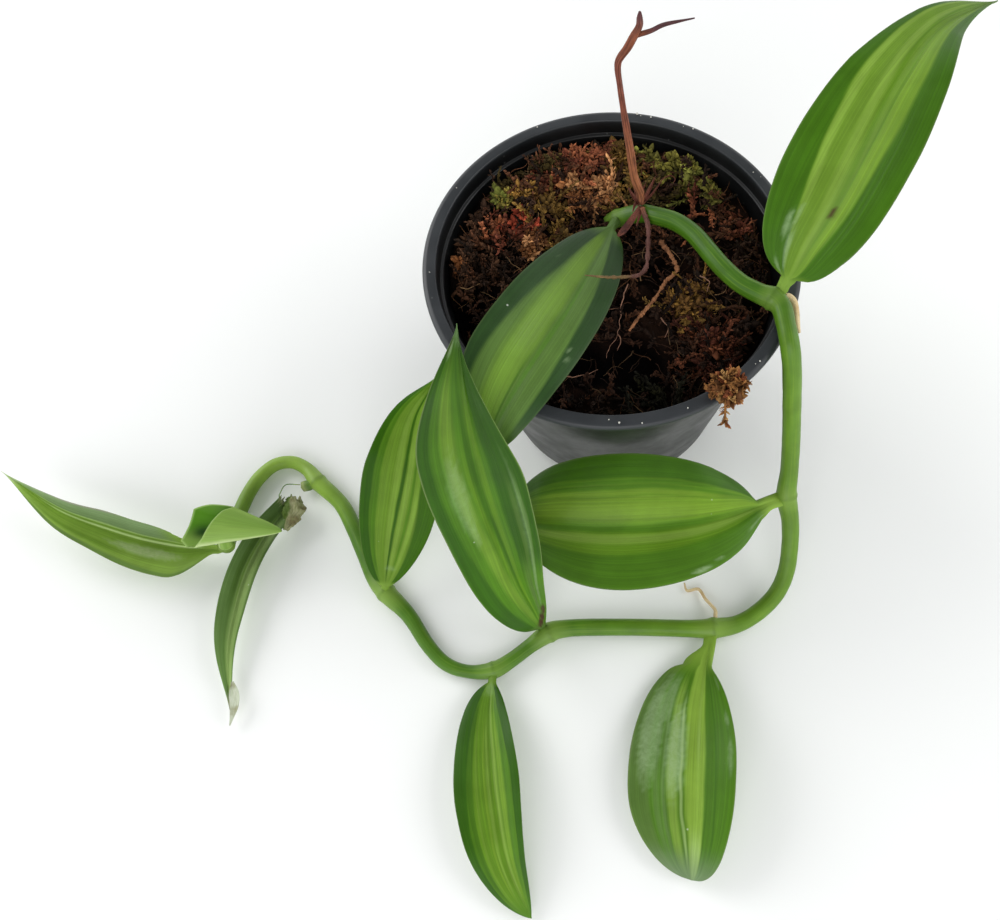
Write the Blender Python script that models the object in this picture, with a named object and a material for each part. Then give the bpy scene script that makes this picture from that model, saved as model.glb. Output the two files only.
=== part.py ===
"""Variegated vanilla orchid trailing out of a plastic nursery pot.

World frame: metres, +Z up, the origin on the table under the middle of the pot.
All the sizes below are in millimetres. MM turns them into metres.
"""

import math

import bmesh
import bpy
from mathutils import Vector, noise

MM = 0.001
GAP = 0.35
CUT_PAST = 1.0
SHARP_ANGLE = 40.0

# Pot
RIM_RADIUS = 60.0
RIM_TOP = 86.0
RIM_WIDTH = 4.4
LIP_HEIGHT = 2.3
LIP_BEVEL = (1.4, 0.9)
LIP_ROUNDING = (0.5, 0.3)
LEDGE_DROP = 5.6
LEDGE_STEP = 1.0
LEDGE_INSET = 0.5
WALL = 1.0
FLOOR = 1.2
BASE_RADIUS = 40.5
BASE_CHAMFER = 1.2
POT_SIDES = 56
DRAIN_HOLES = 6
DRAIN_RADIUS = 3.5
DRAIN_CIRCLE = 29.0
DRAIN_SIDES = 12
HUB = 1.0

# Moss
MOSS_LEVEL = 77.0
MOSS_TOP = 79.9
MOSS_TILT = (-0.03, 0.05)
MOSS_RINGS = 14
MOSS_CLEARANCE = 0.45
MOSS_EDGE_DIP = 1.2
MOSS_DIP_START = 0.75
STEM_HOLE_FOOT = (-6.0, 25.5, 62.0)
MOSS_LUMPS = ((16.0, 2.4, 3.0), (7.5, 1.3, 11.0))
TUFT_CENTRE = (34.5, -48.5, 89.2)
TUFT_SIZE = (6.6, 5.4, 2.9)
TUFT_STRAND = ((34.0, -49.0, 88.8), (33.3, -54.0, 87.3), (33.3, -56.5, 85.6), (33.5, -57.0, 83.0))
TUFT_STRAND_RADIUS = 1.1

# Vine: the places of its joints and the points between them, with the stem's radius there
VINE_SIDES = 10
VINE_SPACING = 4.2
VINE = (
    (-3.5, 23.5, 66.0, 2.6),
    (-0.5, 21.0, 76.0, 2.8),
    (4.0, 19.0, 81.5, 2.9),
    (9.5, 17.5, 85.0, 2.9),
    (14.5, 14.5, 87.5, 2.9),
    (20.5, 11.0, 89.0, 2.9),
    (26.0, 5.5, 89.8, 2.9),
    (30.5, -1.5, 90.2, 3.0),
    (34.5, -7.5, 90.4, 3.0),
    (39.5, -13.0, 90.4, 3.0),
    (45.0, -16.5, 90.2, 3.1),
    (49.0, -18.5, 90.2, 3.5),
    (51.5, -21.5, 90.2, 3.2),
    (52.5, -27.5, 89.9, 3.0),
    (53.5, -33.5, 88.4, 3.0),
    (55.0, -37.5, 81.5, 3.0),
    (57.0, -41.5, 68.0, 3.0),
    (59.0, -48.0, 51.5, 3.05),
    (60.0, -54.0, 39.0, 3.1),
    (60.0, -59.5, 31.0, 3.5),
    (62.0, -66.0, 23.5, 3.1),
    (62.5, -73.0, 17.0, 3.0),
    (61.5, -81.0, 11.0, 3.0),
    (58.0, -88.0, 7.0, 3.0),
    (51.5, -94.0, 4.5, 3.0),
    (44.0, -98.0, 3.6, 3.1),
    (35.5, -99.5, 3.9, 3.6),
    (27.5, -99.5, 3.3, 3.1),
    (9.5, -99.0, 3.2, 3.0),
    (-8.0, -99.0, 3.25, 3.05),
    (-17.0, -99.5, 3.3, 3.1),
    (-22.5, -101.0, 3.7, 3.5),
    (-29.0, -105.5, 3.0, 2.7),
    (-35.5, -110.5, 2.9, 2.65),
    (-41.5, -114.0, 3.1, 2.9),
    (-50.0, -114.5, 2.6, 2.35),
    (-58.0, -112.0, 2.7, 2.4),
    (-65.0, -105.5, 2.7, 2.5),
    (-73.0, -94.5, 3.0, 2.75),
    (-81.5, -86.5, 3.7, 3.4),
    (-86.5, -80.5, 3.3, 3.0),
    (-91.0, -71.5, 3.2, 2.95),
    (-97.0, -60.0, 3.1, 2.9),
    (-102.5, -51.5, 3.1, 2.85),
    (-111.5, -43.5, 3.4, 3.1),
    (-116.5, -38.0, 2.8, 2.55),
    (-122.5, -35.0, 2.7, 2.45),
    (-129.0, -36.0, 2.7, 2.45),
    (-134.0, -41.0, 2.8, 2.5),
    (-137.0, -47.0, 2.9, 2.55),
    (-139.0, -54.0, 3.1, 2.6),
    (-140.0, -61.0, 4.2, 2.6),
    (-139.6, -66.8, 7.4, 2.7),
    (-138.4, -71.4, 12.2, 2.9),
)
STUB = ((-112.5, -43.8, 3.3), (-117.2, -45.4, 3.2))
STUB_RADIUS = 2.0

# Leaves. Spine: the points of the midrib from the stalk to the tip. Face: where the upper side looks
# at the stalk and at the tip. Fold: how far each half rises from flat, in degrees. Left and right: the
# half's width, where it is widest, and how full it is towards the stalk and towards the tip. Neck: the
# share of the length where the foot of the blade flares most, and how wide the left and right flares are.
LEAF_ROWS = 15
LEAF_COLUMNS = 6
LEAF_THICK = 1.6
LEAF_EDGE = 0.8
LEAF_TIP_THINNING = 0.4
TIP_HALF_WIDTH = 0.5
STALK_END = 0.5
STALK_FADE = 0.3
END_CROWDING = 0.75
NO_NECK = (0.1, 0.0, 0.0)
LEAVES = {
    "leaf_pot": dict(
        spine=((1.2, 16.6, 82.2), (-8.5, -7.5, 89.0), (-19.5, -32.0, 94.0), (-27.0, -46.5, 94.0),
               (-32.5, -56.0, 90.0), (-37.0, -66.0, 84.0)),
        face=((0.02, -0.44, 0.9), (0.01, -0.43, 0.9)), fold=(11, 10),
        left=(13.6, 0.49, 0.55, 0.42), right=(16.9, 0.68, 0.6, 0.63), stalk=(0.05, 1.6)),
    "leaf_back": dict(
        spine=((51.9, -16.2, 92.2), (56.5, -7.0, 101.0), (64.0, 3.5, 110.0), (72.5, 17.5, 118.0),
               (83.5, 35.0, 124.0), (99.5, 55.5, 125.0), (121.0, 72.0, 120.0)),
        face=((-0.31, -0.6, 0.74), (-0.51, -0.44, 0.74)), fold=(10, 18),
        left=(17.9, 0.28, 0.51, 1.21), right=(19.6, 0.36, 0.33, 1.71), stalk=(0.03, 2.0),
        neck=(0.03, 0.0, 3.0)),
    "leaf_wall": dict(
        spine=((56.5, -61.4, 31.0), (37.5, -69.0, 34.0), (21.0, -72.5, 35.5), (-2.0, -74.0, 36.0),
               (-21.5, -72.0, 34.0), (-34.5, -69.5, 32.0)),
        face=((0.01, -0.23, 0.97), (0.01, -0.25, 0.97)), fold=(15, 12),
        left=(20.9, 0.54, 0.63, 0.75), right=(25.6, 0.56, 0.51, 0.4), stalk=(0.07, 2.6),
        neck=(0.06, 4.2, 3.0)),
    "leaf_front": dict(
        spine=((34.5, -103.5, 4.5), (32.0, -116.5, 7.0), (30.0, -129.0, 9.0), (28.5, -143.5, 10.5),
               (27.5, -157.0, 9.5), (26.5, -170.5, 7.0), (25.5, -181.0, 3.5)),
        face=((-0.47, -0.06, 0.88), (-0.37, -0.07, 0.93)), fold=(17, 16),
        left=(15.1, 0.5, 0.76, 0.44), right=(23.3, 0.55, 0.31, 0.56), stalk=(0.13, 2.6),
        neck=(0.11, 0.0, 7.0)),
    "leaf_tall": dict(
        spine=((-25.1, -99.2, 6.4), (-31.2, -91.8, 28.0), (-34.5, -83.5, 49.0), (-37.0, -76.5, 68.0),
               (-38.5, -70.0, 84.0), (-39.5, -60.0, 104.0), (-41.0, -44.5, 118.0)),
        face=((-0.02, -0.38, 0.92), (-0.02, -0.38, 0.92)), fold=(20, 16),
        left=(17.1, 0.68, 0.37, 1.33), right=(13.8, 0.59, 0.69, 2.39), stalk=(0.0, 2.0)),
    "leaf_narrow": dict(
        spine=((-41.5, -117.4, 4.0), (-41.5, -130.0, 6.5), (-40.0, -144.5, 8.0), (-37.5, -160.0, 8.0),
               (-33.5, -175.5, 6.0), (-25.5, -192.0, 2.0)),
        face=((-0.21, -0.13, 0.97), (-0.18, -0.12, 0.98)), fold=(21, 18),
        left=(10.6, 0.42, 0.73, 0.94), right=(13.0, 0.49, 0.53, 0.72), stalk=(0.0, 1.6)),
    "leaf_mid": dict(
        spine=((-81.0, -85.4, 7.7), (-78.0, -73.0, 17.0), (-74.5, -61.5, 27.0), (-71.5, -50.5, 36.0),
               (-68.0, -35.0, 44.0), (-58.5, -21.5, 50.0)),
        face=((0.22, -0.38, 0.9), (0.23, -0.39, 0.89)), fold=(10, 10),
        left=(13.6, 0.49, 0.56, 1.65), right=(13.5, 0.42, 0.66, 0.9), stalk=(0.0, 1.5)),
    "leaf_broken": dict(
        spine=((-121.0, -53.0, 3.5), (-128.0, -64.5, 4.0), (-133.0, -78.0, 4.0), (-135.0, -93.0, 4.0),
               (-135.0, -109.0, 3.5), (-130.5, -131.5, 2.0)),
        face=((0.18, -0.21, 0.96), (0.33, -0.23, 0.92)), fold=(52, 49),
        left=(7.5, 0.42, 0.38, 1.35), right=(8.2, 0.58, 0.53, 1.74), stalk=(-0.25, 0.0)),
    "leaf_keeled": dict(
        spine=((-142.1, -70.9, 7.8), (-156.5, -69.5, 4.5), (-172.0, -67.0, 4.5), (-186.5, -63.0, 6.0),
               (-203.5, -57.0, 9.0), (-225.0, -43.5, 14.0)),
        face=((0.4, -0.48, 0.78), (0.49, -0.25, 0.83)), fold=(53, 56),
        left=(15.4, 0.18, 1.6, 1.24), right=(13.9, 0.28, 0.9, 1.49), stalk=(0.0, 3.0)),
}
FIBRE = (
    (-123.5, -53.2, 7.2),
    (-123.6, -51.0, 8.2),
    (-124.5, -48.8, 5.5),
    (-122.6, -45.6, 6.0),
    (-117.9, -44.9, 4.4),
)
FIBRE_RADIUS = 0.45

# The furled leaf: a sheet rolled round a line from its open mouth to its tip
FURL_MOUTH = (-139.6, -67.2, 20.0)
FURL_TIP = (-117.2, -67.9, 17.5)
FURL_RADIUS = 8.4
FURL_TIP_RADIUS = 0.9
FURL_TAPER = 0.75
FURL_OVERLAP = 0.14
FURL_FLATNESS = 0.74
FURL_BORE = 0.25
FURL_LIP = ((0, 10.5), (30, 7.0), (60, 1.5), (100, 0.0), (180, 5.5), (240, 10.0), (320, 12.5))
FURL_TURN = 305.0
FURL_START = 8.0
FURL_ROWS = 11
FURL_COLUMNS = 18
FURL_THICK = 1.0

# Dry shoot and roots
SHOOT = (
    (9.3, 19.0, 88.6, 1.9),
    (9.0, 20.0, 92.0, 1.6),
    (7.0, 20.0, 100.0, 1.35),
    (5.5, 20.0, 112.5, 1.2),
    (4.0, 20.0, 124.0, 1.0),
    (2.5, 20.0, 137.0, 0.8),
    (2.0, 20.0, 145.0, 0.95),
    (4.5, 20.0, 150.0, 1.15),
    (6.0, 19.5, 154.0, 1.1),
    (7.5, 20.0, 157.0, 0.9),
    (7.5, 19.5, 160.0, 0.7),
    (7.5, 19.5, 162.0, 0.45),
)
FORK = (
    (6.2, 19.6, 154.2, 0.6),
    (10.5, 20.0, 155.5, 0.55),
    (14.0, 20.5, 157.0, 0.5),
    (21.5, 20.5, 159.0, 0.4),
)
SHEATH = ((8.6, 18.6, 90.0), (4.6, 4.4, 2.8))
FLAP = ((11.0, 19.0, 90.5, 1.3), (15.0, 21.5, 91.0, 1.4), (18.0, 24.0, 92.0, 0.9), (21.0, 24.5, 92.3, 0.5))
STRIP = ((8.6, 15.6, 89.6, 1.1), (6.5, 11.5, 87.4, 1.2), (4.5, 8.5, 86.6, 0.8))
THIN_ROOT = (
    (9.6, 15.8, 89.8, 0.9),
    (11.5, 10.5, 87.5, 0.85),
    (11.5, 5.0, 85.0, 0.8),
    (11.0, -2.5, 84.5, 0.75),
    (8.5, -8.0, 87.5, 0.7),
    (4.5, -12.5, 93.0, 0.6),
    (-1.0, -14.0, 95.0, 0.5),
    (-8.0, -14.0, 96.0, 0.45),
)
DRY_ROOT = ((16.0, 11.5), (19.0, 6.0), (21.0, 0.0), (17.5, -4.0), (14.5, -9.0), (11.0, -14.5), (5.5, -23.0))
DRY_ROOT_RADIUS = 0.9
DRY_ROOT_LIFT = 0.5
AIR_ROOT = (
    (36.5, -95.4, 4.4, 0.7),
    (36.5, -92.5, 3.2, 0.65),
    (33.5, -88.5, 2.0, 0.6),
    (31.0, -84.5, 1.2, 0.6),
    (27.0, -85.0, 0.8, 0.55),
    (26.0, -82.0, 0.7, 0.45),
)
NUB = (
    (53.6, -17.4, 90.6, 0.9),
    (55.6, -18.9, 89.4, 1.1),
    (56.2, -22.0, 88.2, 1.15),
    (56.3, -26.0, 87.6, 1.05),
    (57.0, -28.5, 86.8, 0.7),
)

# Colour and roughness
FINISH = {
    "pot": ((0.030, 0.033, 0.036), 0.42),
    "moss": ((0.070, 0.038, 0.016), 0.95),
    "tuft": ((0.260, 0.130, 0.040), 0.95),
    "stem": ((0.095, 0.235, 0.022), 0.42),
    "leaf": ((0.080, 0.210, 0.022), 0.38),
    "dry": ((0.190, 0.070, 0.040), 0.80),
    "root": ((0.560, 0.400, 0.180), 0.65),
}


def clear_scene():
    for obj in list(bpy.data.objects):
        bpy.data.objects.remove(obj, do_unlink=True)


def material(kind):
    found = bpy.data.materials.get(kind)
    if found:
        return found
    colour, roughness = FINISH[kind]
    found = bpy.data.materials.new(kind)
    found.use_nodes = True
    shader = found.node_tree.nodes["Principled BSDF"]
    shader.inputs["Base Color"].default_value = (*colour, 1.0)
    shader.inputs["Roughness"].default_value = roughness
    return found


def add_object(name, points, faces, kind):
    """One mesh object from points in millimetres."""
    mesh = bpy.data.meshes.new(name)
    mesh.from_pydata([Vector(p) * MM for p in points], [], faces)
    mesh.materials.append(material(kind))
    form = bmesh.new()
    form.from_mesh(mesh)
    bmesh.ops.recalc_face_normals(form, faces=form.faces)
    form.to_mesh(mesh)
    form.free()
    mesh.shade_smooth()
    mesh.set_sharp_from_angle(angle=math.radians(SHARP_ANGLE))
    obj = bpy.data.objects.new(name, mesh)
    bpy.context.scene.collection.objects.link(obj)
    return obj


def helper(obj):
    """Marks an object that only cuts or joins another one."""
    obj.hide_render = True
    obj.display_type = "WIRE"
    return obj


def combine(obj, other, operation):
    modifier = obj.modifiers.new(operation.title(), "BOOLEAN")
    modifier.operation = operation
    modifier.object = helper(other)
    modifier.solver = "EXACT"


def curve_through(points, spacing):
    """Points about a spacing apart on a smooth curve through the given ones, which may carry a radius."""
    given = [tuple(p) for p in points]
    first = tuple(2 * a - b for a, b in zip(given[0], given[1]))
    last = tuple(2 * a - b for a, b in zip(given[-1], given[-2]))
    ring = [first, *given, last]
    found = []
    for i in range(1, len(ring) - 2):
        a, b, c, d = ring[i - 1 : i + 3]
        length = (Vector(c[:3]) - Vector(b[:3])).length
        steps = max(1, round(length / spacing))
        for step in range(steps):
            t = step / steps
            found.append(
                tuple(
                    0.5
                    * (
                        2 * q
                        + (r - p) * t
                        + (2 * p - 5 * q + 4 * r - s) * t**2
                        + (3 * q - p - 3 * r + s) * t**3
                    )
                    for p, q, r, s in zip(a, b, c, d)
                )
            )
    found.append(given[-1])
    return found


def tube(name, points, kind, spacing=2.0, sides=8, grow=0.0, blunt=1.0):
    """A closed tube through points of (x, y, z, radius). Blunt scales the radius of both ends."""
    path = curve_through(points, spacing)
    centres = [Vector(p[:3]) for p in path]
    radii = [p[3] + grow for p in path]
    radii[0] *= blunt
    radii[-1] *= blunt
    last = len(centres) - 1
    side = None
    rings = []
    for i, centre in enumerate(centres):
        along = (centres[min(i + 1, last)] - centres[max(i - 1, 0)]).normalized()
        if side is None:
            side = along.orthogonal().normalized()
        side = (side - along * side.dot(along)).normalized()
        up = along.cross(side)
        for k in range(sides):
            angle = 2 * math.pi * k / sides
            rings.append(centre + (side * math.cos(angle) + up * math.sin(angle)) * radii[i])
    faces = [tuple(range(sides))[::-1], tuple(last * sides + k for k in range(sides))]
    for i in range(last):
        for k in range(sides):
            n = (k + 1) % sides
            faces.append((i * sides + k, i * sides + n, (i + 1) * sides + n, (i + 1) * sides + k))
    return add_object(name, rings, faces, kind)


def turned(name, profile, sides, kind):
    """A closed solid turned round Z from a closed profile of (radius, height)."""
    points = []
    for k in range(sides):
        angle = 2 * math.pi * k / sides
        points += [(r * math.cos(angle), r * math.sin(angle), z) for r, z in profile]
    count = len(profile)
    faces = []
    for k in range(sides):
        n = (k + 1) % sides
        for i in range(count):
            j = (i + 1) % count
            faces.append((k * count + i, k * count + j, n * count + j, n * count + i))
    return add_object(name, points, faces, kind)


def wall_radius(height):
    """The pot's outer radius below the collar."""
    top = RIM_RADIUS - RIM_WIDTH - LEDGE_INSET - LEDGE_STEP + WALL
    share = min(1.0, max(0.0, height / (RIM_TOP - LEDGE_DROP)))
    return BASE_RADIUS + (top - BASE_RADIUS) * share


def build_pot():
    ledge = RIM_TOP - LEDGE_DROP
    throat = RIM_RADIUS - RIM_WIDTH
    profile = (
        (HUB, 0.0),
        (BASE_RADIUS - BASE_CHAMFER, 0.0),
        (wall_radius(BASE_CHAMFER), BASE_CHAMFER),
        (wall_radius(ledge - WALL), ledge - WALL),
        (throat - LEDGE_INSET + WALL, ledge - LIP_ROUNDING[1]),
        (throat + WALL, RIM_TOP - LIP_HEIGHT + WALL),
        (RIM_RADIUS - WALL, RIM_TOP - LIP_HEIGHT + WALL),
        (RIM_RADIUS - WALL, RIM_TOP - LIP_HEIGHT),
        (RIM_RADIUS, RIM_TOP - LIP_HEIGHT),
        (RIM_RADIUS, RIM_TOP - LIP_BEVEL[1]),
        (RIM_RADIUS - LIP_ROUNDING[0], RIM_TOP - LIP_ROUNDING[1]),
        (RIM_RADIUS - LIP_BEVEL[0], RIM_TOP),
        (throat + LIP_ROUNDING[1], RIM_TOP),
        (throat, RIM_TOP - LIP_ROUNDING[0]),
        (throat - LEDGE_INSET, ledge + LIP_ROUNDING[1]),
        (throat - LEDGE_INSET - LEDGE_STEP, ledge),
        (wall_radius(0) - WALL, FLOOR),
        (HUB, FLOOR),
    )
    pot = turned("pot", profile, POT_SIDES, "pot")
    close_hub(pot)
    for k in range(DRAIN_HOLES):
        angle = 2 * math.pi * (k + 0.5) / DRAIN_HOLES
        x = DRAIN_CIRCLE * math.cos(angle)
        y = DRAIN_CIRCLE * math.sin(angle)
        ends = ((x, y, -CUT_PAST, DRAIN_RADIUS), (x, y, FLOOR + CUT_PAST, DRAIN_RADIUS))
        combine(pot, tube(f"drain_cutter_{k}", ends, "pot", FLOOR + 2 * CUT_PAST, DRAIN_SIDES), "DIFFERENCE")


def close_hub(pot):
    """Fills the small round opening that the turned profile leaves on the axis."""
    form = bmesh.new()
    form.from_mesh(pot.data)
    inner = [f for f in form.faces if all(v.co.xy.length < 1.5 * HUB * MM for v in f.verts)]
    bmesh.ops.delete(form, geom=inner, context="FACES")
    edges = [e for e in form.edges if e.is_boundary]
    bmesh.ops.holes_fill(form, edges=edges)
    bmesh.ops.recalc_face_normals(form, faces=form.faces)
    form.to_mesh(pot.data)
    form.free()


def moss_height(x, y):
    """The moss's upper side in millimetres: a tilted level with lumps of two sizes that dips at the wall."""
    height = MOSS_LEVEL + MOSS_TILT[0] * x + MOSS_TILT[1] * y
    for size, rise, seed in MOSS_LUMPS:
        height += rise * noise.noise(Vector((x / size, y / size, seed)))
    share = math.hypot(x, y) / wall_radius(MOSS_LEVEL)
    dip = MOSS_EDGE_DIP * max(0.0, share - MOSS_DIP_START) / (1 - MOSS_DIP_START)
    return min(MOSS_TOP, height - dip)


def build_moss():
    clearance = WALL + MOSS_CLEARANCE
    rim = wall_radius(MOSS_LEVEL) - clearance
    points = [(0.0, 0.0, moss_height(0.0, 0.0))]
    for ring in range(1, MOSS_RINGS + 1):
        radius = rim * ring / MOSS_RINGS
        for k in range(POT_SIDES):
            angle = 2 * math.pi * k / POT_SIDES
            height = moss_height(radius * math.cos(angle), radius * math.sin(angle))
            if ring == MOSS_RINGS:
                radius = wall_radius(height) - clearance
            points.append((radius * math.cos(angle), radius * math.sin(angle), height))
    foot = wall_radius(0) - clearance
    for k in range(POT_SIDES):
        angle = 2 * math.pi * k / POT_SIDES
        points.append((foot * math.cos(angle), foot * math.sin(angle), FLOOR + GAP))
    faces = []
    for k in range(POT_SIDES):
        n = (k + 1) % POT_SIDES
        faces.append((0, 1 + k, 1 + n))
        for ring in range(MOSS_RINGS):
            a = 1 + ring * POT_SIDES
            b = a + POT_SIDES
            faces.append((a + k, b + k, b + n))
            faces.append((a + k, b + n, a + n))
    low = 1 + MOSS_RINGS * POT_SIDES
    faces.append(tuple(low + k for k in range(POT_SIDES)))
    moss = add_object("moss", points, faces, "moss")
    buried = [(*STEM_HOLE_FOOT, VINE[0][3]), *VINE[:3]]
    cutter = tube("stem_hole_cutter", buried, "moss", VINE_SPACING, VINE_SIDES, grow=GAP)
    combine(moss, cutter, "DIFFERENCE")


def blob(name, centre, size, kind, rough):
    """A lumpy closed body."""
    form = bmesh.new()
    bmesh.ops.create_icosphere(form, subdivisions=2, radius=1.0)
    points = []
    for vert in form.verts:
        swell = 1.0 + rough * noise.noise(2 * vert.co + Vector(centre))
        points.append([c + s * q * swell for c, s, q in zip(centre, size, vert.co)])
    faces = [tuple(v.index for v in f.verts) for f in form.faces]
    form.free()
    return add_object(name, points, faces, kind)


def build_tuft():
    tuft = blob("moss_tuft", TUFT_CENTRE, TUFT_SIZE, "tuft", rough=0.35)
    strand = [(*p, TUFT_STRAND_RADIUS * (1 - i / len(TUFT_STRAND))) for i, p in enumerate(TUFT_STRAND)]
    combine(tuft, tube("tuft_strand", strand, "tuft", 2.0, 6), "UNION")


def build_vine():
    vine = tube("vine", VINE, "stem", VINE_SPACING, VINE_SIDES, blunt=0.75)
    stub = [(*p, STUB_RADIUS) for p in STUB]
    combine(vine, tube("stub", stub, "stem", 2.0, 8, blunt=0.85), "UNION")


def half_width(share, half, stalk, neck):
    """A leaf half's width at a share of the leaf's length."""
    width, widest, stalk_power, tip_power = half
    stalk_share, stalk_width = stalk
    place = min(1.0, max(0.0, (share - stalk_share) / (1 - stalk_share)))
    if place < widest:
        off = (widest - place) / widest
        blade = width * max(0.0, 1 - off**2) ** stalk_power
    else:
        off = (place - widest) / (1 - widest)
        blade = width * max(0.0, 1 - off**2) ** tip_power
    petiole = stalk_width * (1 - share) * min(1.0, max(0.0, (STALK_END - share) / STALK_FADE))
    neck_share, neck_width = neck
    flare = neck_width * max(0.0, 1 - (share / neck_share - 1) ** 2) ** 2
    return (blade**3 + petiole**3 + flare**3) ** (1 / 3)


def spaced_shares(rows):
    """Shares of a length from 0 to 1 that lie closer together at both ends."""
    found = []
    for row in range(rows):
        even = row / (rows - 1)
        found.append((1 - END_CROWDING) * even + END_CROWDING * (0.5 - 0.5 * math.cos(math.pi * even)))
    return found


def along_spine(spine, rows):
    """For each row its share of the length, its place on the curve through the spine, and its direction."""
    fine = [Vector(p) for p in curve_through(spine, 1.0)]
    reach = [0.0]
    for a, b in zip(fine, fine[1:]):
        reach.append(reach[-1] + (b - a).length)
    found = []
    i = 0
    for share in spaced_shares(rows):
        goal = reach[-1] * share
        while i < len(fine) - 2 and reach[i + 1] < goal:
            i += 1
        rest = (goal - reach[i]) / (reach[i + 1] - reach[i])
        found.append((share, fine[i].lerp(fine[i + 1], rest), (fine[i + 1] - fine[i]).normalized()))
    return found


def build_leaf(name, leaf):
    """A leaf blade as one closed solid. Both faces are split into triangles alike."""
    rows = along_spine(leaf["spine"], LEAF_ROWS)
    stalk_face, tip_face = (Vector(f).normalized() for f in leaf["face"])
    folds = [math.radians(f) for f in leaf["fold"]]
    necks = leaf.get("neck", NO_NECK)
    upper, lower = [], []
    for share, centre, along in rows:
        face = stalk_face.lerp(tip_face, share).normalized()
        side = along.cross(face).normalized()
        face = side.cross(along).normalized()
        for column in range(LEAF_COLUMNS + 1):
            across = 2 * column / LEAF_COLUMNS - 1
            half = leaf["left"] if across < 0 else leaf["right"]
            fold = folds[0] if across < 0 else folds[1]
            neck = (necks[0], necks[1] if across < 0 else necks[2])
            reach = max(TIP_HALF_WIDTH, half_width(share, half, leaf["stalk"], neck)) * across
            point = centre + side * reach * math.cos(fold) + face * abs(reach) * math.sin(fold)
            thick = LEAF_THICK + (LEAF_EDGE - LEAF_THICK) * abs(across)
            thick *= 1 - LEAF_TIP_THINNING * share
            upper.append(point + face * thick / 2)
            lower.append(point - face * thick / 2)
    return sheet_solid(name, upper, lower, LEAF_ROWS, LEAF_COLUMNS + 1, "leaf")


def sheet_solid(name, upper, lower, rows, columns, kind):
    """Closes two like grids of points into one solid."""
    count = len(upper)
    faces = []
    for row in range(rows - 1):
        for column in range(columns - 1):
            a = row * columns + column
            b, c, d = a + 1, a + columns + 1, a + columns
            faces += [(a, b, c), (a, c, d)]
            faces += [(count + c, count + b, count + a), (count + d, count + c, count + a)]
    border = list(range(columns))
    border += [row * columns + columns - 1 for row in range(1, rows)]
    border += [(rows - 1) * columns + column for column in range(columns - 2, -1, -1)]
    border += [row * columns for row in range(rows - 2, 0, -1)]
    for a, b in zip(border, border[1:] + border[:1]):
        faces.append((b, a, count + a))
        faces.append((b, count + a, count + b))
    return add_object(name, list(upper) + list(lower), faces, kind)


def furl_lip(angle):
    """How far the mouth of the furled leaf reaches out at an angle in degrees."""
    for (a, low), (b, high) in zip(FURL_LIP, FURL_LIP[1:]):
        if angle <= b:
            return low + (high - low) * (angle - a) / (b - a)
    return FURL_LIP[-1][1]


def build_furled_leaf():
    """A cone of one rolled sheet, open at its mouth and along its overlapping edge."""
    mouth = Vector(FURL_MOUTH)
    axis = Vector(FURL_TIP) - mouth
    along = axis.normalized()
    side = along.cross(Vector((0, 0, 1))).normalized()
    up = side.cross(along)
    outer, inner = [], []
    for row in range(FURL_ROWS):
        share = row / (FURL_ROWS - 1)
        for column in range(FURL_COLUMNS + 1):
            turn = column / FURL_COLUMNS
            angle = math.radians(FURL_START + FURL_TURN * turn)
            wide = FURL_RADIUS * (1 - share) ** FURL_TAPER
            radius = wide * (1 - FURL_OVERLAP * (1 - turn)) + FURL_TIP_RADIUS
            ray = side * math.cos(angle) + up * math.sin(angle) * FURL_FLATNESS
            centre = mouth + axis * share - along * (1 - share) * furl_lip(math.degrees(angle))
            outer.append(centre + ray * radius)
            inner.append(centre + ray * max(FURL_BORE, radius - FURL_THICK))
    return sheet_solid("leaf_furled", outer, inner, FURL_ROWS, FURL_COLUMNS + 1, "leaf")


def build_leaves():
    for name, leaf in LEAVES.items():
        blade = build_leaf(name, leaf)
        if name == "leaf_broken":
            fibre = [(*p, FIBRE_RADIUS) for p in FIBRE]
            combine(blade, tube("fibre", fibre, "leaf", 2.0, 6), "UNION")
    build_furled_leaf()


def build_dry_shoot():
    shoot = tube("dry_shoot", SHOOT, "dry", 4.0, 8)
    combine(shoot, tube("fork", FORK, "dry", 4.0, 6), "UNION")
    combine(shoot, blob("sheath", *SHEATH, "dry", rough=0.3), "UNION")
    combine(shoot, tube("flap", FLAP, "dry", 2.5, 6), "UNION")
    combine(shoot, tube("strip", STRIP, "dry", 2.5, 6), "UNION")
    combine(shoot, tube("thin_root", THIN_ROOT, "dry", 2.5, 6), "UNION")
    room = tube("vine_room", VINE[2:6], "dry", VINE_SPACING, VINE_SIDES, grow=GAP)
    combine(shoot, room, "DIFFERENCE")


def build_roots():
    lying = []
    for x, y in curve_through(DRY_ROOT, 3.0):
        lying.append((x, y, moss_height(x, y) + DRY_ROOT_RADIUS + DRY_ROOT_LIFT, DRY_ROOT_RADIUS))
    tube("dry_root", lying, "dry", 2.5, 6, blunt=0.6)
    tube("air_root", AIR_ROOT, "root", 2.0, 6)
    tube("root_nub", NUB, "root", 1.2, 8, blunt=0.7)


def main():
    clear_scene()
    build_pot()
    build_moss()
    build_tuft()
    build_vine()
    build_leaves()
    build_dry_shoot()
    build_roots()


main()
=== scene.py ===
"""Looks of a variegated vanilla orchid that trails out of a plastic nursery pot.

Lengths in the tables are in millimetres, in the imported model's frame: +Z is up and the origin lies on
the table under the middle of the pot. MM turns them into metres. Colours are given as they look on a
screen, from 0 to 255, and shade turns them into what the shaders take.
"""

import math
import random

import bmesh
import bpy
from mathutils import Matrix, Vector, noise


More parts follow.
